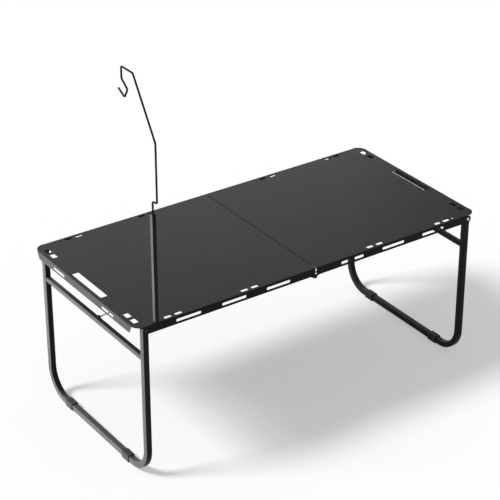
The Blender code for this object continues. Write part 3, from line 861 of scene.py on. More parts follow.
    def long_edge(self, face: Face, fold_x: float) -> list[Surface]:
        """Fold and flange of a long edge; the flange ends in a circle about the leg's pivot.

        Args:
            face: Which long edge.
            fold_x: Where the fold ends.

        Returns:
            The fold and the flange.
        """
        low = TOP - self.bend
        lobe = SLOT_HEIGHT - (TOP - self.drop)
        rise = math.degrees(math.asin((low - SLOT_HEIGHT) / lobe))
        side_view = np.concatenate([
            [[self.seam, low], [fold_x, low]], arc((LEG_X, SLOT_HEIGHT), lobe, rise, -90, 18),
            [[self.seam, TOP - self.drop]],
        ])
        flange = sheet_face(np.insert(side_view, 1, face.value * HALF_DEPTH, axis=1))
        bow = arc((HALF_DEPTH - self.bend, low), self.bend, 90, 0, 6) * np.array([face.value, 1])
        if face is Face.FRONT:
            return [ribbon(bow, 0, fold_x, self.seam), flange.flipped()]
        return [ribbon(bow, 0, self.seam, fold_x), flange]

    def end_edge(self, fold_y: float) -> list[Surface]:
        """Fold and flange of the right end; the flange reaches past the fold on both sides.

        Args:
            fold_y: Where the fold ends.

        Returns:
            The fold and the flange.
        """
        low, tip = TOP - self.bend, fold_y + self.ear_reach
        chip_y, chip_z = self.ear_chip
        back = np.array([
            [tip - self.ear_taper, TOP - self.drop], [tip, low - chip_z], [tip - chip_y, low], [fold_y, low],
        ])
        end_view = np.concatenate([back[::-1] * np.array([-1, 1]), back])
        bow = arc((HALF_LENGTH - self.bend, low), self.bend, 90, 0, 6)
        return [ribbon(bow, 1, fold_y, -fold_y), sheet_face(np.insert(end_view, 0, HALF_LENGTH, axis=1))]

    def top_cuts(self, side: Side) -> list[Surface]:
        """Slots and holes of a tray's top.

        Args:
            side: The half.

        Returns:
            The shapes that are cut out.
        """
        sign = side.value
        short_x = sign * (HALF_LENGTH - self.short_inset)
        outlines = [slot(*self.hand_slot, (short_x, 0), upright=True)]
        for face in Face:
            y = face.value * (HALF_DEPTH - self.long_inset)
            outlines += [slot(*self.long_edge_slot, (sign * x, y)) for x in self.long_slot_x]
            spots = [(short_x, face.value * spot) for spot in self.short_slot_y]
            outlines += [slot(*self.short_edge_slot, spot, upright=True) for spot in spots]
            if side is Side.LEFT and face is Face.FRONT:
                outlines.append(ring(POST, self.screw_hole, 24))
            else:
                outlines.append(ring((sign * self.small_hole_x, y), self.small_hole, 24))
        return [prism(outline, TOP - 2 * SHEET, TOP + 2 * SHEET, Lay.FLAT) for outline in outlines]

    def flange_cuts(self, side: Side) -> list[Surface]:
        """Slots, holes and notches of a tray's flanges.

        Args:
            side: The half.

        Returns:
            The shapes that are cut out.
        """
        sign = side.value
        across = [slot(*self.flange_slot, (sign * x, SLOT_HEIGHT)) for x in self.flange_slot_x]
        across.append(ring((sign * LEG_X, SLOT_HEIGHT), PIVOT_HOLE))
        across += [ring((sign * x, SLOT_HEIGHT), HINGE_RIVET_HOLE, 24) for x in HINGE_RIVETS.values()]
        reach = HALF_DEPTH + self.margin
        shapes = [prism(outline, -reach, reach, Lay.ACROSS_Y) for outline in across]

        end_y, end_z = self.end_slot_place
        ends = [slot(*self.end_slot, (face.value * end_y, end_z)) for face in Face]
        low, high = sign * HALF_LENGTH - self.margin, sign * HALF_LENGTH + self.margin
        shapes += [prism(outline, low, high, Lay.ACROSS_X) for outline in ends]

        upper_depth, upper_radius = self.upper_notch
        lower_depth, half = self.lower_notch
        below = TOP - self.drop - self.margin
        arch = arc((0, TOP - lower_depth - half), half, 0, 180, 16)
        notches = [ring((0, TOP - upper_depth), upper_radius),
                   np.concatenate([arch, [[-half, below], [half, below]]])]
        for face in Face:
            # Across Y the plane's normal is -Y.
            middle = -face.value * HALF_DEPTH
            low, high = middle - 3 * SHEET, middle + 3 * SHEET
            shapes += [prism(notch, low, high, Lay.ACROSS_Y) for notch in notches]
        return shapes


@dataclass
class Leg:
    """A U-shaped leg of square tube with its crossbar, foot sleeves, rivets and washers.

    Attributes:
        tube_side: Width of the tube.
        tube_corner: Its corner radius.
        wall: Wall of the tube and of the crossbar.
        bend: Radius of the bends on the tube's middle line.
        crossbar_z: Height of the crossbar's middle.
        crossbar_side: Its width.
        crossbar_corner: Its corner radius.
        sleeve_y: From the middle of the rail to the middle of a foot sleeve.
        sleeve_length: Length of a sleeve.
        sleeve_wall: Its wall.
        sleeve_corner: Its outer corner radius.
        sleeve_rim: Radius of its rims.
        rivet: Radius of a rivet's shank, radius of its head and height of its head.
        washer: Radius, thickness and chamfer of the spacers.
        margin: How far the cut round an upright's end stands off the tube.
        edge: Rounding of the tube's cut edges.
    """

    tube_side: float = 0.0182
    tube_corner: float = 0.0022
    wall: float = 0.0012
    bend: float = 0.0799
    crossbar_z: float = 0.3935
    crossbar_side: float = 0.0146
    crossbar_corner: float = 0.0018
    sleeve_y: float = 0.161
    sleeve_length: float = 0.036
    sleeve_wall: float = 0.0023
    sleeve_corner: float = 0.0034
    sleeve_rim: float = 0.0007
    rivet: tuple[float, float, float] = (0.003, 0.0045, 0.0016)
    washer: tuple[float, float, float] = (0.0085, 0.001, 0.0002)
    margin: float = 0.003
    edge: float = 0.0003

    @property
    def outside(self) -> float:
        """Return how far the uprights' outer faces are from the table's middle."""
        return INSIDE - self.washer[1] - 2 * SEAT_GAP

    @property
    def rail_z(self) -> float:
        """Return the height of the floor rail's middle, which its sleeves hold off the floor."""
        return self.tube_side / 2 + SEAT_GAP + self.sleeve_wall

    def pieces(self, side: Side) -> list[Piece]:
        """Everything that belongs to one leg and its pivots.

        Args:
            side: The half.

        Returns:
            The pieces.
        """
        made = [self.frame(side), self.crossbar(side)]
        for face in Face:
            made += [self.foot_sleeve(side, face), self.pivot_rivet(side, face), self.spacer(side, face)]
        return made

    def frame(self, side: Side) -> Piece:
        """The bent tube, with round upper ends and the holes for its rivets.

        The tube's square is carried down one upright, round two quarter circles and up the other.

        Args:
            side: The half.

        Returns:
            The tube.
        """
        x, half = side.value * LEG_X, self.tube_side / 2
        centre, top = self.outside - half, SLOT_HEIGHT + half
        inner, low = centre - self.bend, self.rail_z + self.bend
        path = np.concatenate([
            [[-centre, top]], arc((-inner, low), self.bend, 180, 270, 18),
            arc((inner, low), self.bend, 270, 360, 18), [[centre, top]],
        ])
        section = rounded_square(self.tube_side, self.tube_corner)
        skin = tube(section, np.insert(path, 0, x, axis=1), (1, 0, 0), capped=False)
        beside, above = half + self.margin, top + self.margin
        crown = np.concatenate([
            arc((x, SLOT_HEIGHT), half, 0, 180, 20),
            [[x - beside, SLOT_HEIGHT], [x - beside, above], [x + beside, above], [x + beside, SLOT_HEIGHT]],
        ])
        bore = ring((x, SLOT_HEIGHT), PIVOT_HOLE)
        cutters = [outward(prism(outline, -THROUGH, THROUGH, Lay.ACROSS_Y)) for outline in (crown, bore)]
        return Piece(f"{side.label}_leg_tube", skin, FRAME_COAT, f"{side.label}_leg",
                     (f"{side.label}_leg_frame",), wall=self.wall, cutters=cutters, edge=self.edge,
                     sharp=TUBE_SHARP)

    def crossbar(self, side: Side) -> Piece:
        """Square tube between the uprights.

        Args:
            side: The half.

        Returns:
            The tube.
        """
        reach = self.outside - self.tube_side - SEAT_GAP
        bar = hollow_bar(self.crossbar_side, self.crossbar_corner, self.wall, reach).laid(Lay.ACROSS_Y)
        bar = bar.moved((side.value * LEG_X, 0, self.crossbar_z))
        return Piece(f"{side.label}_crossbar_tube", bar, FRAME_COAT, f"{side.label}_leg",
                     (f"{side.label}_crossbar",))

    def foot_sleeve(self, side: Side, face: Face) -> Piece:
        """Plastic sleeve round the floor rail.

        Args:
            side: The half.
            face: The long side that it is nearer to.

        Returns:
            The sleeve.
        """
        width = self.tube_side + 2 * (SEAT_GAP + self.sleeve_wall)
        bar = hollow_bar(width, self.sleeve_corner, self.sleeve_wall, self.sleeve_length / 2, self.sleeve_rim)
        bar = bar.laid(Lay.ACROSS_Y).moved((side.value * LEG_X, face.value * self.sleeve_y, self.rail_z))
        node = f"{side.label}_{face.label}_foot_sleeve"
        return Piece(node + "_moulding", bar, PLASTIC, f"{side.label}_leg", (node,))

    def pivot_rivet(self, side: Side, face: Face) -> Piece:
        """Pivot rivet with a low domed head outside and a set head inside.

        Args:
            side: The half.
            face: The long side.

        Returns:
            The rivet, bright steel on the right legs; on the left legs the same rivet is black, as painted
            shade.
        """
        shank, wide, head = self.rivet
        far = head + HALF_DEPTH - self.outside + self.tube_side + 2 * SEAT_GAP
        profile = np.array([
            (0, 0), (0.0016, 0.00012), (0.0029, 0.00042), (0.0039, 0.0009), (wide, head), (shank, head),
            (shank, far), (wide, far), (0.0041, far + 0.0009), (0.0030, far + 0.0014), (0, far + head),
        ])
        centre = (side.value * LEG_X, face.value * (HALF_DEPTH + SEAT_GAP + head), SLOT_HEIGHT)
        # The left rivets are the same steel as the right ones, painted black as painted shade where no glint
        # shows.
        finish = BRIGHT_ZINC if side is Side.RIGHT else BLACK_ZINC_AND_PAINTED_SHADE
        turned = lathe(profile, centre, (0, -face.value, 0))
        node = f"{side.label}_{face.label}_leg_rivet"
        return Piece(node + "_steel", turned, finish, f"{side.label}_half", (node,))

    def spacer(self, side: Side, face: Face) -> Piece:
        """Plastic washer between the flange and the leg.

        Args:
            side: The half.
            face: The long side.

        Returns:
            The washer.
        """
        radius, thickness, chamfer = self.washer
        profile = np.array([
            (PIVOT_HOLE, 0.0), (radius - chamfer, 0.0), (radius, chamfer), (radius, thickness - chamfer),
            (radius - chamfer, thickness), (PIVOT_HOLE, thickness),
        ])
        centre = (side.value * LEG_X, face.value * (INSIDE - SEAT_GAP), SLOT_HEIGHT)
        turned = lathe(profile, centre, (0, -face.value, 0), closed=True)
        node = f"{side.label}_{face.label}_leg_washer"
        return Piece(node + "_spacer", turned, PLASTIC, f"{side.label}_half", (node,))


@dataclass
class Hinge:
    """One of the two middle hinges: two plates, their pin, washer and rivets.

    Attributes:
        axis_z: Height of the pin.
        plate: Thickness of a plate.
        lobe: Radius of the plate's end round the pin.
        neck: From the pin to where the upper edge leaves that circle.
        chin: From the pin to where the lower edge leaves it, along and down.
        joggle: From the pin to both ends of the inward step.
        pad: From the pin to both ends of the pad.
        pad_low: Height of the lower edge where the pad begins.
        pad_level: From the pin to where the lower edge becomes level.
        pad_height: Height of the pad.
        pin: Radius of the pin, radius of its heads and height of each.
        chamfer: Size of the chamfer on its heads.
        washer: Radius and thickness of the spacer.
        rivet: Radius of a rivet's shank, radius of its head and height of its head.
        edge: Rounding of the plates' edges.
    """

    axis_z: float = 0.4715
    plate: float = 0.002
    lobe: float = 0.006
    neck: float = 0.0045
    chin: tuple[float, float] = (0.003, 0.0052)
    joggle: tuple[float, float] = (0.012, 0.020)
    pad: tuple[float, float] = (0.022, 0.070)
    pad_low: float = 0.4772
    pad_level: float = 0.026
    pad_height: float = 0.013
    pin: tuple[float, float, float] = (0.003, 0.004, 0.0014)
    chamfer: float = 0.0004
    washer: tuple[float, float] = (0.0052, 0.0008)
    rivet: tuple[float, float, float] = (0.0016, 0.003, 0.0008)
    edge: float = 0.0002

    @property
    def step(self) -> float:
        """Return how far the right-hand plate is set inwards, behind the left one and the washer."""
        return self.plate + self.washer[1] + 2 * SEAT_GAP

    def pieces(self, face: Face) -> list[Piece]:
        """The pieces of one hinge.

        Args:
            face: The long side that it is on.

        Returns:
            Two plates, the pin, the washer and four rivets.
        """
        made = [self.leaf(face, side) for side in Side] + [self.fold_pin(face), self.spacer(face)]
        made += [self.flush_rivet(face, side, label) for side in Side for label in HINGE_RIVETS]
        return made

    def leaf(self, face: Face, side: Side) -> Piece:
        """One hinge plate; the right-hand one is set inwards round the pin.

        The plate is a rectangle carried along x: its lower and upper edges follow the lobe's
        circle, the pin's height less or plus sqrt(r^2 - x^2), and then the straight edges of neck
        and pad. The inward step is (3 - 2t) t^2, with t from 0 to 1 between its ends.

        Args:
            face: The long side that it is on.
            side: The half that it belongs to.

        Returns:
            The plate with its holes.
        """
        pad_start, pad_end = self.pad
        chin_x, chin_drop = self.chin
        round_x = self.lobe * np.cos(np.radians(np.linspace(176, 0, 34)))
        x = np.unique(np.concatenate([
            round_x[round_x < self.neck], np.linspace(*self.joggle, 9),
            [self.neck, pad_start, self.pad_level, pad_end],
        ]))
        half = np.sqrt(np.clip(self.lobe ** 2 - x ** 2, 0, None))
        low_pad, high_pad = SLOT_HEIGHT - self.pad_height / 2, SLOT_HEIGHT + self.pad_height / 2
        chin_z = self.axis_z - chin_drop
        low = np.interp(x, [chin_x, pad_start, self.pad_level], [chin_z, self.pad_low, low_pad])
        low = np.where(x < chin_x, self.axis_z - half, low)
        neck_z = self.axis_z + math.sqrt(self.lobe ** 2 - self.neck ** 2)
        high = np.interp(x, [self.neck, pad_start], [neck_z, high_pad])
        high = np.where(x < self.neck, self.axis_z + half, high)
        share = np.clip((self.joggle[1] - x) / (self.joggle[1] - self.joggle[0]), 0, 1)
        set_in = (3 - 2 * share) * share ** 2 * (self.step if side is Side.RIGHT else 0.0)
        outer = INSIDE - SEAT_GAP - set_in
        inner = outer - self.plate
        corners = [(outer, low), (outer, high), (inner, high), (inner, low)]
        rows = np.stack([np.stack([x, face.value * y, z], axis=1) for y, z in corners], axis=1)
        body = grid(rows, wrap_columns=True)
        last = len(rows) * 4
        body.faces += [[3, 2, 1, 0], list(range(last - 4, last))]
        holes = [ring((0, self.axis_z), PIVOT_HOLE)]
        spots = [(side.value * spot, SLOT_HEIGHT) for spot in HINGE_RIVETS.values()]
        holes += [ring(spot, HINGE_RIVET_HOLE, 24) for spot in spots]
        return Piece(
            f"hinge_leaf_{face.label}_{side.label}", outward(body.mirrored(side.value)), FRAME_COAT,
            f"{side.label}_half", (f"hinge_plate_{face.label}_{side.label}",),
            cutters=[prism(hole, -THROUGH, THROUGH, Lay.ACROSS_Y) for hole in holes], edge=self.edge,
        )

    def fold_pin(self, face: Face) -> Piece:
        """The pin that the halves fold about, with a head at each end.

        Args:
            face: The long side.

        Returns:
            The pin.
        """
        radius, wide, head = self.pin
        flat = wide - 1.5 * self.chamfer
        far = head + self.step + self.plate + 2 * SEAT_GAP
        end = far + head
        profile = np.array([
            (0, 0), (flat, 0), (wide, self.chamfer), (wide, head), (radius, head), (radius, far),
            (wide, far), (wide, end - self.chamfer), (flat, end), (0, end),
        ])
        turned = lathe(profile, (0, face.value * (INSIDE + head), self.axis_z), (0, -face.value, 0))
        node = f"hinge_pin_{face.label}"
        return Piece(node + "_steel", turned, FRAME_COAT, "left_half", (node,))

    def spacer(self, face: Face) -> Piece:
        """Washer between the two plates.

        Args:
            face: The long side.

        Returns:
            The washer.
        """
        radius, thickness = self.washer
        profile = np.array([(PIVOT_HOLE, 0), (radius, 0), (radius, thickness), (PIVOT_HOLE, thickness)])
        centre = (0, face.value * (INSIDE - self.plate - 2 * SEAT_GAP), self.axis_z)
        turned = lathe(profile, centre, (0, -face.value, 0), closed=True)
        node = f"hinge_washer_{face.label}"
        return Piece(node + "_spacer", turned, PLASTIC, "left_half", (node,))

    def flush_rivet(self, face: Face, side: Side, label: str) -> Piece:
        """Flush rivet that holds a hinge plate on its flange.

        Args:
            face: The long side.
            side: The half.
            label: Which of the plate's two rivets.

        Returns:
            The rivet.
        """
        shank, wide, head = self.rivet
        grip, soft = SHEET + self.plate + 2 * SEAT_GAP, 0.0002
        profile = np.array([(0, 0), (shank - soft, 0), (shank, soft), (shank, grip), (wide, grip),
                            (wide - soft, grip + 0.0005), (shank, grip + head), (0, grip + head)])
        centre = (side.value * HINGE_RIVETS[label], face.value * HALF_DEPTH, SLOT_HEIGHT)
        turned = lathe(profile, centre, (0, -face.value, 0), steps=24)
        node = f"hinge_rivet_{face.label}_{side.label}_{label}"
        return Piece(node + "_steel", turned, FRAME_COAT, f"{side.label}_half", (node,))


@dataclass
class LegLock:
    """The wire hook that keeps an open leg from folding, with its eye and its ring.

    Attributes:
        pivot: y and z of the eye's hole.
        base: Height of the eye's foot, on the crossbar.
        eye_reach: Half the width of the eye and the radius of its top.
        eye_plate: Thickness of the eye.
        hole: Radius of its hole.
        wire: Diameter of the wire.
        tail: How far the wire stands out of the eye.
        side_step: From the eye's plane to the wire on its other side.
        finger: x, y and z of the finger's tip, just inside the end flange.
        finger_length: Length of the finger.
        bend: Radius of the wire's bends.
        ring: Radius, thickness and chamfer of the ring.
        plate_edge: Rounding of the eye's edges.
        wire_edge: Rounding of the wire's ends.
    """

    pivot: tuple[float, float] = (-0.030, 0.408)
    base: float = 0.4011
    eye_reach: float = 0.008
    eye_plate: float = 0.0025
    hole: float = 0.00205
    wire: float = 0.0035
    tail: float = 0.0036
    side_step: float = 0.0064
    finger: Point = (HALF_LENGTH - SHEET - SEAT_GAP, -0.143, SLOT_HEIGHT)
    finger_length: float = 0.005
    bend: float = 0.004
    ring: tuple[float, float, float] = (0.004, 0.0008, 0.0003)
    plate_edge: float = 0.0003
    wire_edge: float = 0.0004

    def pieces(self, side: Side) -> list[Piece]:
        """Return the eye, the hook and the ring of one lock."""
        return [self.eye(side), self.hook(side), self.clip(side)]

    def eye(self, side: Side) -> Piece:
        """Small upright plate on the crossbar with the hook's hole.

        Args:
            side: The half.

        Returns:
            The plate.
        """
        (y, z), reach = self.pivot, self.eye_reach
        crown = arc((y, z - reach / 3), reach, 0, 180, 24)
        outline = np.concatenate([crown, [[y - reach, self.base], [y + reach, self.base]]])
        x, half = side.value * LEG_X, self.eye_plate / 2
        plate = prism(outline, x - half, x + half, Lay.ACROSS_X)
        hole = prism(ring(self.pivot, self.hole, 24), x - 8 * half, x + 8 * half, Lay.ACROSS_X)
        return Piece(f"{side.label}_hook_eye", plate, FRAME_COAT, f"{side.label}_leg",
                     (f"{side.label}_hook_tab",), cutters=[hole], edge=self.plate_edge)

    def hook(self, side: Side) -> Piece:
        """Bent wire from the eye to the slot in the end flange.

        The wire lies in the plane of x and the line from the eye to the finger's tip.

        Args:
            side: The half.

        Returns:
            The wire.
        """
        y, z = self.pivot
        tip_x, tip_y, tip_z = self.finger
        run = math.hypot(tip_y - y, tip_z - z)
        start, beside = LEG_X + self.eye_plate / 2 + self.tail, LEG_X - self.side_step
        corners = [(start, 0), (beside, 0), (tip_x - self.finger_length, run), (tip_x, run)]
        flat = rounded_profile(corners, self.bend, 8)
        share = flat[:, 1] / run
        path = np.c_[flat[:, 0], y + share * (tip_y - y), z + share * (tip_z - z)]
        across = np.cross([1, 0, 0], [0, (tip_y - y) / run, (tip_z - z) / run])
        body = tube(ring((0, 0), self.wire / 2, 20), path, tuple(across)).mirrored(side.value)
        return Piece(f"{side.label}_lock_wire", body, BLACK_ZINC_AND_PAINTED_SHADE, f"{side.label}_hook",
                     (f"{side.label}_lock_hook",), edge=self.wire_edge, sharp=TUBE_SHARP)

    def clip(self, side: Side) -> Piece:
        """Ring that keeps the hook in its eye.

        Args:
            side: The half.

        Returns:
            The ring.
        """
        radius, thickness, chamfer = self.ring
        profile = np.array([
            (self.hole, 0), (radius - chamfer, 0), (radius, chamfer), (radius, thickness - 0.0002),
            (radius - chamfer, thickness), (self.hole, thickness),
        ])
        centre = (side.value * (LEG_X + self.eye_plate / 2 + SEAT_GAP), *self.pivot)
        turned = lathe(profile, centre, (side.value, 0, 0), closed=True)
        return Piece(f"{side.label}_hook_ring", turned, BLACK_ZINC_AND_PAINTED_SHADE, f"{side.label}_hook",
                     (f"{side.label}_hook_clip",))


@dataclass
class Hanger:
    """The post on the front left corner and the wire that carries a lantern.

    Attributes:
        base: Height of the post's foot.
        length: Length of the post.
        side: Its width.
        wall: Its wall and its corner radius.
        rim: Radius of its rims.
        cap_depth: How far the cap reaches into the post.
        cap_lip: How far it stands above it.
        cap_chamfer: Chamfer round its top.
        plug_side: Width of what fits inside the post.
        plug_corner: Corner radius of that.
        plug_height: Height of the plug in its foot.
        socket: Depth of the hole for the wire in that plug.
        thread: Radius of the plug's hole for the screw.
        thread_depth: Depth of that hole.
        screw: Radius of the screw, its reach above the tray, radius of its head and height of its head.
        groove: Depth of the groove across the head and half its width.
        chamfer: Chamfer of the screw's head and tip.
        rod: Diameter of the wire.
        rod_edge: Rounding of the wire's ends.
        bend: Radius of the wire's bends.
        route: The wire's corners, as y from the post's middle and height above the top.
    """

    base: float = TOP + SEAT_GAP
    length: float = 0.326
    side: float = 0.012
    wall: float = 0.0012
    rim: float = 0.0002
    cap_depth: float = 0.012
    cap_lip: float = 0.002
    cap_chamfer: float = 0.0006
    plug_side: float = 0.009
    plug_corner: float = 0.0003
    plug_height: float = 0.016
    socket: float = 0.006
    thread: float = 0.0023
    thread_depth: float = 0.0077
    screw: tuple[float, float, float, float] = (0.002, 0.008, 0.0048, 0.0012)
    groove: float = 0.0006
    chamfer: float = 0.0004
    rod: float = 0.0055
    rod_edge: float = 0.0008
    bend: float = 0.006
    route: tuple[tuple[float, float], ...] = (
        (0, 0.0106), (0, 0.363), (-0.022, 0.367), (-0.022, 0.538), (0.079, 0.6965), (0.136, 0.6965),
        (0.136, 0.6625), (0.107, 0.641), (0.123, 0.614), (0.153, 0.630),
    )

    def pieces(self) -> list[Piece]:
        """Return the post, its cap, plug and screw, and the wire."""
        return [self.post(), self.cap(), self.plug(), self.base_screw(), self.wire()]

    def post(self) -> Piece:
        """Square tube standing on the tray.

        Returns:
            The tube.
        """
        body = hollow_bar(self.side, self.wall, self.wall, self.length / 2, self.rim)
        place = (*POST, self.base + self.length / 2)
        return Piece("post_tube", body.moved(place), FRAME_COAT, "left_half", ("hanger_post",))

    def cap(self) -> Piece:
        """Cap with a bore for the wire and a shoulder that fits inside the post.

        Squares of the widths in `levels` are joined from the lowest to the highest.

        Returns:
            The cap.
        """
        top = self.base + self.length + SEAT_GAP
        # Width, corner radius and height above the post of each square.
        levels = [
            (self.plug_side, self.plug_corner, -self.cap_depth), (self.plug_side, self.plug_corner, 0),
            (self.side, self.wall, 0), (self.side, self.wall, self.cap_lip - self.cap_chamfer),
            (self.side - 2 * self.cap_chamfer, 0.0008, self.cap_lip),
        ]
        squares = [(rounded_square(width, corner), top + rise) for width, corner, rise in levels]
        rows = np.array([np.insert(square, 2, height, axis=1) for square, height in squares])
        count = rows.shape[1]
        body = grid(rows, wrap_columns=True)
        body.faces += [list(range(count))[::-1], list(range((len(rows) - 1) * count, len(rows) * count))]
        reach = 2 * self.cap_depth
        bore = prism(ring((0, 0), self.rod / 2 + SEAT_GAP), top - reach, top + reach, Lay.FLAT)
        return Piece("post_cap", outward(body).moved((*POST, 0)), PLASTIC, "left_half", ("hanger_post_cap",),
                     cutters=[bore.moved((*POST, 0))])

    def plug(self) -> Piece:
        """Threaded plug in the post's foot, with a socket for the wire above.

        Returns:
            The plug.
        """
        top = self.base + self.plug_height
        body = prism(rounded_square(self.plug_side, self.plug_corner), self.base, top, Lay.FLAT)
        thread_top, below = self.base + self.thread_depth, self.base - self.thread_depth
        bores = [prism(ring((0, 0), self.rod / 2 + SEAT_GAP), top - self.socket, top + self.socket, Lay.FLAT),
                 prism(ring((0, 0), self.thread), below, thread_top, Lay.FLAT)]
        return Piece("post_plug", body.moved((*POST, 0)), BLACK_ZINC_AND_PAINTED_SHADE, "left_half", ("hanger_base_plug",),
                     cutters=[bore.moved((*POST, 0)) for bore in bores])

    def base_screw(self) -> Piece:
        """Flat-head screw under the tray, with a slot across its head.

        Returns:
            The screw.
        """
        shank, reach, wide, head = self.screw
        under, chamfer = TOP - SHEET - SEAT_GAP, self.chamfer
        profile = np.array([
            (0, -head), (wide - chamfer, -head), (wide, chamfer - head), (wide, 0), (shank, 0),
            (shank, reach - chamfer), (shank - chamfer, reach), (0, reach),
        ])
        across = np.array([(-1, -1), (1, -1), (1, 1), (-1, 1)]) * np.array([self.side / 2, self.groove])
        groove = prism(across + np.array(POST), under - 2 * head, under - head + self.groove, Lay.FLAT)
        return Piece("post_screw", lathe(profile, (*POST, under), (0, 0, 1)), BLACK_ZINC_AND_PAINTED_SHADE, "left_half",
                     ("hanger_base_screw",), cutters=[groove])

    def wire(self) -> Piece:
        """Bent wire in the plane across X through the post.

        Returns:
            The wire.
        """
        flat = rounded_profile(list(self.route), self.bend, 10)
        path = np.insert(flat + np.array([POST[1], TOP]), 0, POST[0], axis=1)
        return Piece("lantern_wire", tube(ring((0, 0), self.rod / 2, 24), path, (1, 0, 0)), FRAME_COAT,
                     "lantern_hanger", ("hanger_rod",), edge=self.rod_edge, sharp=TUBE_SHARP)


@dataclass(frozen=True)
class Lamp:
    """A soft rectangular lamp that faces a point.

    Attributes:
        name: Its name.
        place: Where it hangs.
        aim: The point that it faces.
        size: Its width and height in metres.
        power: Its power in watts.
        lit: How the names of what it lights begin; an empty beginning stands for everything.
        unlit: How the names of what it doesn't light begin, as with a flag hung before it.
        mirrored: Whether the table's gloss shows it.
    """

    name: str
    place: Point
    aim: Point
    size: tuple[float, float]
    power: float
    lit: tuple[str, ...] = ("",)
    unlit: tuple[str, ...] = ()
    mirrored: bool = True

    def hang(self, scene: bpy.types.Scene) -> None:
        """Hang the lamp and keep its light off what it doesn't light.

        Args:
            scene: The scene, with all its pieces in it.
        """
        data = bpy.data.lights.new(self.name, "AREA")
        data.shape = "RECTANGLE"
        data.size, data.size_y = self.size
        data.energy = self.power
        item = bpy.data.objects.new(self.name, data)
        item.location = self.place
        item.rotation_euler = (Vector(self.aim) - Vector(self.place)).to_track_quat("-Z", "Y").to_euler()
        item.visible_camera = False
        item.visible_glossy = self.mirrored
        scene.collection.objects.link(item)
        receivers = bpy.data.collections.new(f"lit_by_{self.name}")
        for piece in scene.objects:
            wanted = piece.name.startswith(self.lit) and not piece.name.startswith(self.unlit)
            if piece.type == "MESH" and wanted:
                receivers.objects.link(piece)
        item.light_linking.receiver_collection = receivers


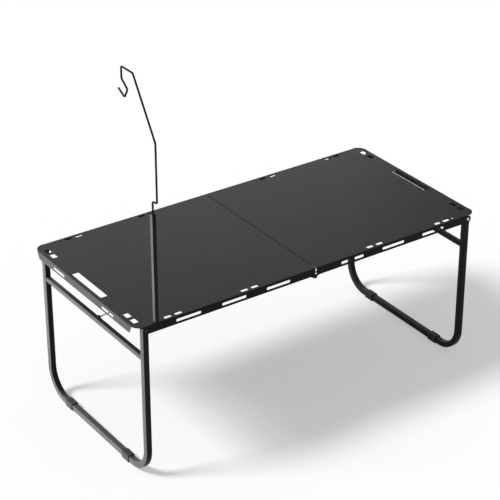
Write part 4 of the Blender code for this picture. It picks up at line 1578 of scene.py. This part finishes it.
@dataclass
class Studio:
    """Camera, lamps and floor.

    Attributes:
        eye: Where the camera stands.
        yaw: Degrees that it looks to the right of +Y.
        pitch: Degrees that it looks down.
        focal: Focal length in pixels of the photograph.
        photo_side: Width and height of the photograph in pixels.
        key_side: Direction that the key light comes from.
        key_angle: Width of its source in degrees.
        key_strength: Its strength in watts for each square metre.
        side: Low lamp beyond the left end that lights the left half and its leg.
        strip: Long lamp that is mirrored along the back of the top.
        sky: Large lamp that lights the floor alone.
        fill: Strength of the world's light on the table.
        paper: Colour of the background.
        ground: Colour of the floor.
        bounce: Colour of the floor where it only throws light back at the table.
        floor_glow: Share of the floor's look that no shadow darkens.
        floor_reach: From the middle of the floor to its edges.
    """

    eye: Point = (-2.677999, -3.812264, 2.977133)
    yaw: float = 34.767
    pitch: float = 28.657
    focal: float = 1787.2735
    photo_side: int = 500
    key_side: Point = (-12.8, 5.1, 15.9)
    key_angle: float = 15.9
    key_strength: float = 3.4
    side: Lamp = Lamp("side", place=(-3.2, 1.3, 0.38), aim=(0.0, 0.0, 0.3), size=(1.5, 0.6), power=1350.0,
                      unlit=("floor", "right_", "left_lock", "left_hook", "lantern"), mirrored=False)
    strip: Lamp = Lamp("strip", place=(0.70, 1.60, 1.25), aim=(0.70, 0.0, 0.3), size=(2.4, 0.5), power=8.0,
                       unlit=("floor",))
    sky: Lamp = Lamp("sky", place=(0.0, 0.0, 12.0), aim=(0.0, 0.0, 0.3), size=(40.0, 40.0), power=700.0,
                     lit=("floor",))
    fill: float = 0.20
    paper: Colour = (0.985, 0.985, 0.985)
    ground: Colour = (0.90, 0.90, 0.90)
    bounce: Colour = (0.35, 0.35, 0.35)
    floor_glow: float = 0.43
    floor_reach: float = 30.0

    def build(self) -> None:
        """Set up the view, the floor and the lamps."""
        scene = bpy.context.scene
        scene.view_settings.view_transform = "Standard"
        self.camera(scene)
        self.world(scene)
        self.floor(scene)
        self.key(scene)
        for lamp in (self.side, self.strip, self.sky):
            lamp.hang(scene)

    def camera(self, scene: bpy.types.Scene) -> None:
        """Place the camera as the photograph was taken.

        Args:
            scene: The scene.
        """
        data = bpy.data.cameras.new("camera")
        data.sensor_width = 36
        data.lens = data.sensor_width * self.focal / self.photo_side
        data.clip_end = 100
        item = bpy.data.objects.new("camera", data)
        item.location = self.eye
        item.rotation_euler = (math.radians(90 - self.pitch), 0, math.radians(-self.yaw))
        scene.collection.objects.link(item)
        scene.camera = item

    def world(self, scene: bpy.types.Scene) -> None:
        """White where it is seen or mirrored, soft grey where it lights the table.

        Args:
            scene: The scene.
        """
        world = bpy.data.worlds.new("studio")
        world.use_nodes = True
        nodes, links = world.node_tree.nodes, world.node_tree.links
        soft = nodes["Background"]
        soft.inputs["Color"].default_value = (1, 1, 1, 1)
        soft.inputs["Strength"].default_value = self.fill
        seen = nodes.new("ShaderNodeBackground")
        seen.inputs["Color"].default_value = (*self.paper, 1)
        mixed = blend(nodes, links, seen_rays(nodes, links), soft.outputs[0], seen.outputs[0])
        links.new(mixed, nodes["World Output"].inputs["Surface"])
        scene.world = world

    def floor(self, scene: bpy.types.Scene) -> None:
        """Lay a plain pale floor whose shadow is softened where it is seen.

        Args:
            scene: The scene.
        """
        square = np.array([(-1, -1, 0), (1, -1, 0), (1, 1, 0), (-1, 1, 0)]) * self.floor_reach
        item = bpy.data.objects.new("floor", sheet_face(square).mesh("floor"))
        pale = bpy.data.materials.new("pale_floor")
        pale.use_nodes = True
        nodes, links = pale.node_tree.nodes, pale.node_tree.links
        shader = nodes["Principled BSDF"]
        shader.inputs["Base Color"].default_value = (*self.ground, 1)
        shader.inputs["Roughness"].default_value = 0.9
        shader.inputs["Specular IOR Level"].default_value = 0.0
        glow = nodes.new("ShaderNodeEmission")
        glow.inputs["Color"].default_value = (*self.paper, 1)
        lifted = blend(nodes, links, self.floor_glow, shader.outputs[0], glow.outputs[0])
        unseen = nodes.new("ShaderNodeBsdfDiffuse")
        unseen.inputs["Color"].default_value = (*self.bounce, 1)
        mixed = blend(nodes, links, seen_rays(nodes, links), unseen.outputs[0], lifted)
        links.new(mixed, nodes["Material Output"].inputs["Surface"])
        item.data.materials.append(pale)
        scene.collection.objects.link(item)

    def key(self, scene: bpy.types.Scene) -> None:
        """Add the key light, far enough off to light all of the floor alike.

        Args:
            scene: The scene.
        """
        data = bpy.data.lights.new("key", "SUN")
        data.energy = self.key_strength
        data.angle = math.radians(self.key_angle)
        item = bpy.data.objects.new("key", data)
        item.rotation_euler = Vector(self.key_side).to_track_quat("Z", "Y").to_euler()
        scene.collection.objects.link(item)


def blend(nodes: bpy.types.Nodes, links: bpy.types.NodeLinks, share: bpy.types.NodeSocket | float,
          first: bpy.types.NodeSocket, second: bpy.types.NodeSocket) -> bpy.types.NodeSocket:
    """Mix two shaders.

    Args:
        nodes: The material's or world's nodes.
        links: Its links.
        share: How much of the second shows, from 0 to 1.
        first: One shader.
        second: The other.

    Returns:
        The mixed shader.
    """
    mix = nodes.new("ShaderNodeMixShader")
    if isinstance(share, float):
        mix.inputs["Fac"].default_value = share
    else:
        links.new(share, mix.inputs["Fac"])
    links.new(first, mix.inputs[1])
    links.new(second, mix.inputs[2])
    return mix.outputs[0]


def seen_rays(nodes: bpy.types.Nodes, links: bpy.types.NodeLinks) -> bpy.types.NodeSocket:
    """Add the test for a ray that is seen, mirrored or refracted.

    Args:
        nodes: The material's or world's nodes.
        links: Its links.

    Returns:
        1 for camera, glossy and transmission rays, else 0.
    """
    rays = nodes.new("ShaderNodeLightPath")
    value = rays.outputs["Is Camera Ray"]
    for name in ("Is Glossy Ray", "Is Transmission Ray"):
        either = nodes.new("ShaderNodeMath")
        either.operation = "MAXIMUM"
        links.new(value, either.inputs[0])
        links.new(rays.outputs[name], either.inputs[1])
        value = either.outputs[0]
    return value


def main() -> None:
    """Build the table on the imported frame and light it."""
    logging.basicConfig(level=logging.INFO, format="%(message)s")
    for item in list(bpy.context.scene.objects):
        bpy.data.objects.remove(item, do_unlink=True)
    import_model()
    leg, lock, hinge = Leg(), LegLock(), Hinge()
    pieces = TableTop().pieces() + Hanger().pieces()
    for side in Side:
        pieces += leg.pieces(side) + lock.pieces(side)
    for face in Face:
        pieces += hinge.pieces(face)
    for piece in pieces:
        piece.build()
    Studio().build()


if __name__ == "__main__":
    main()
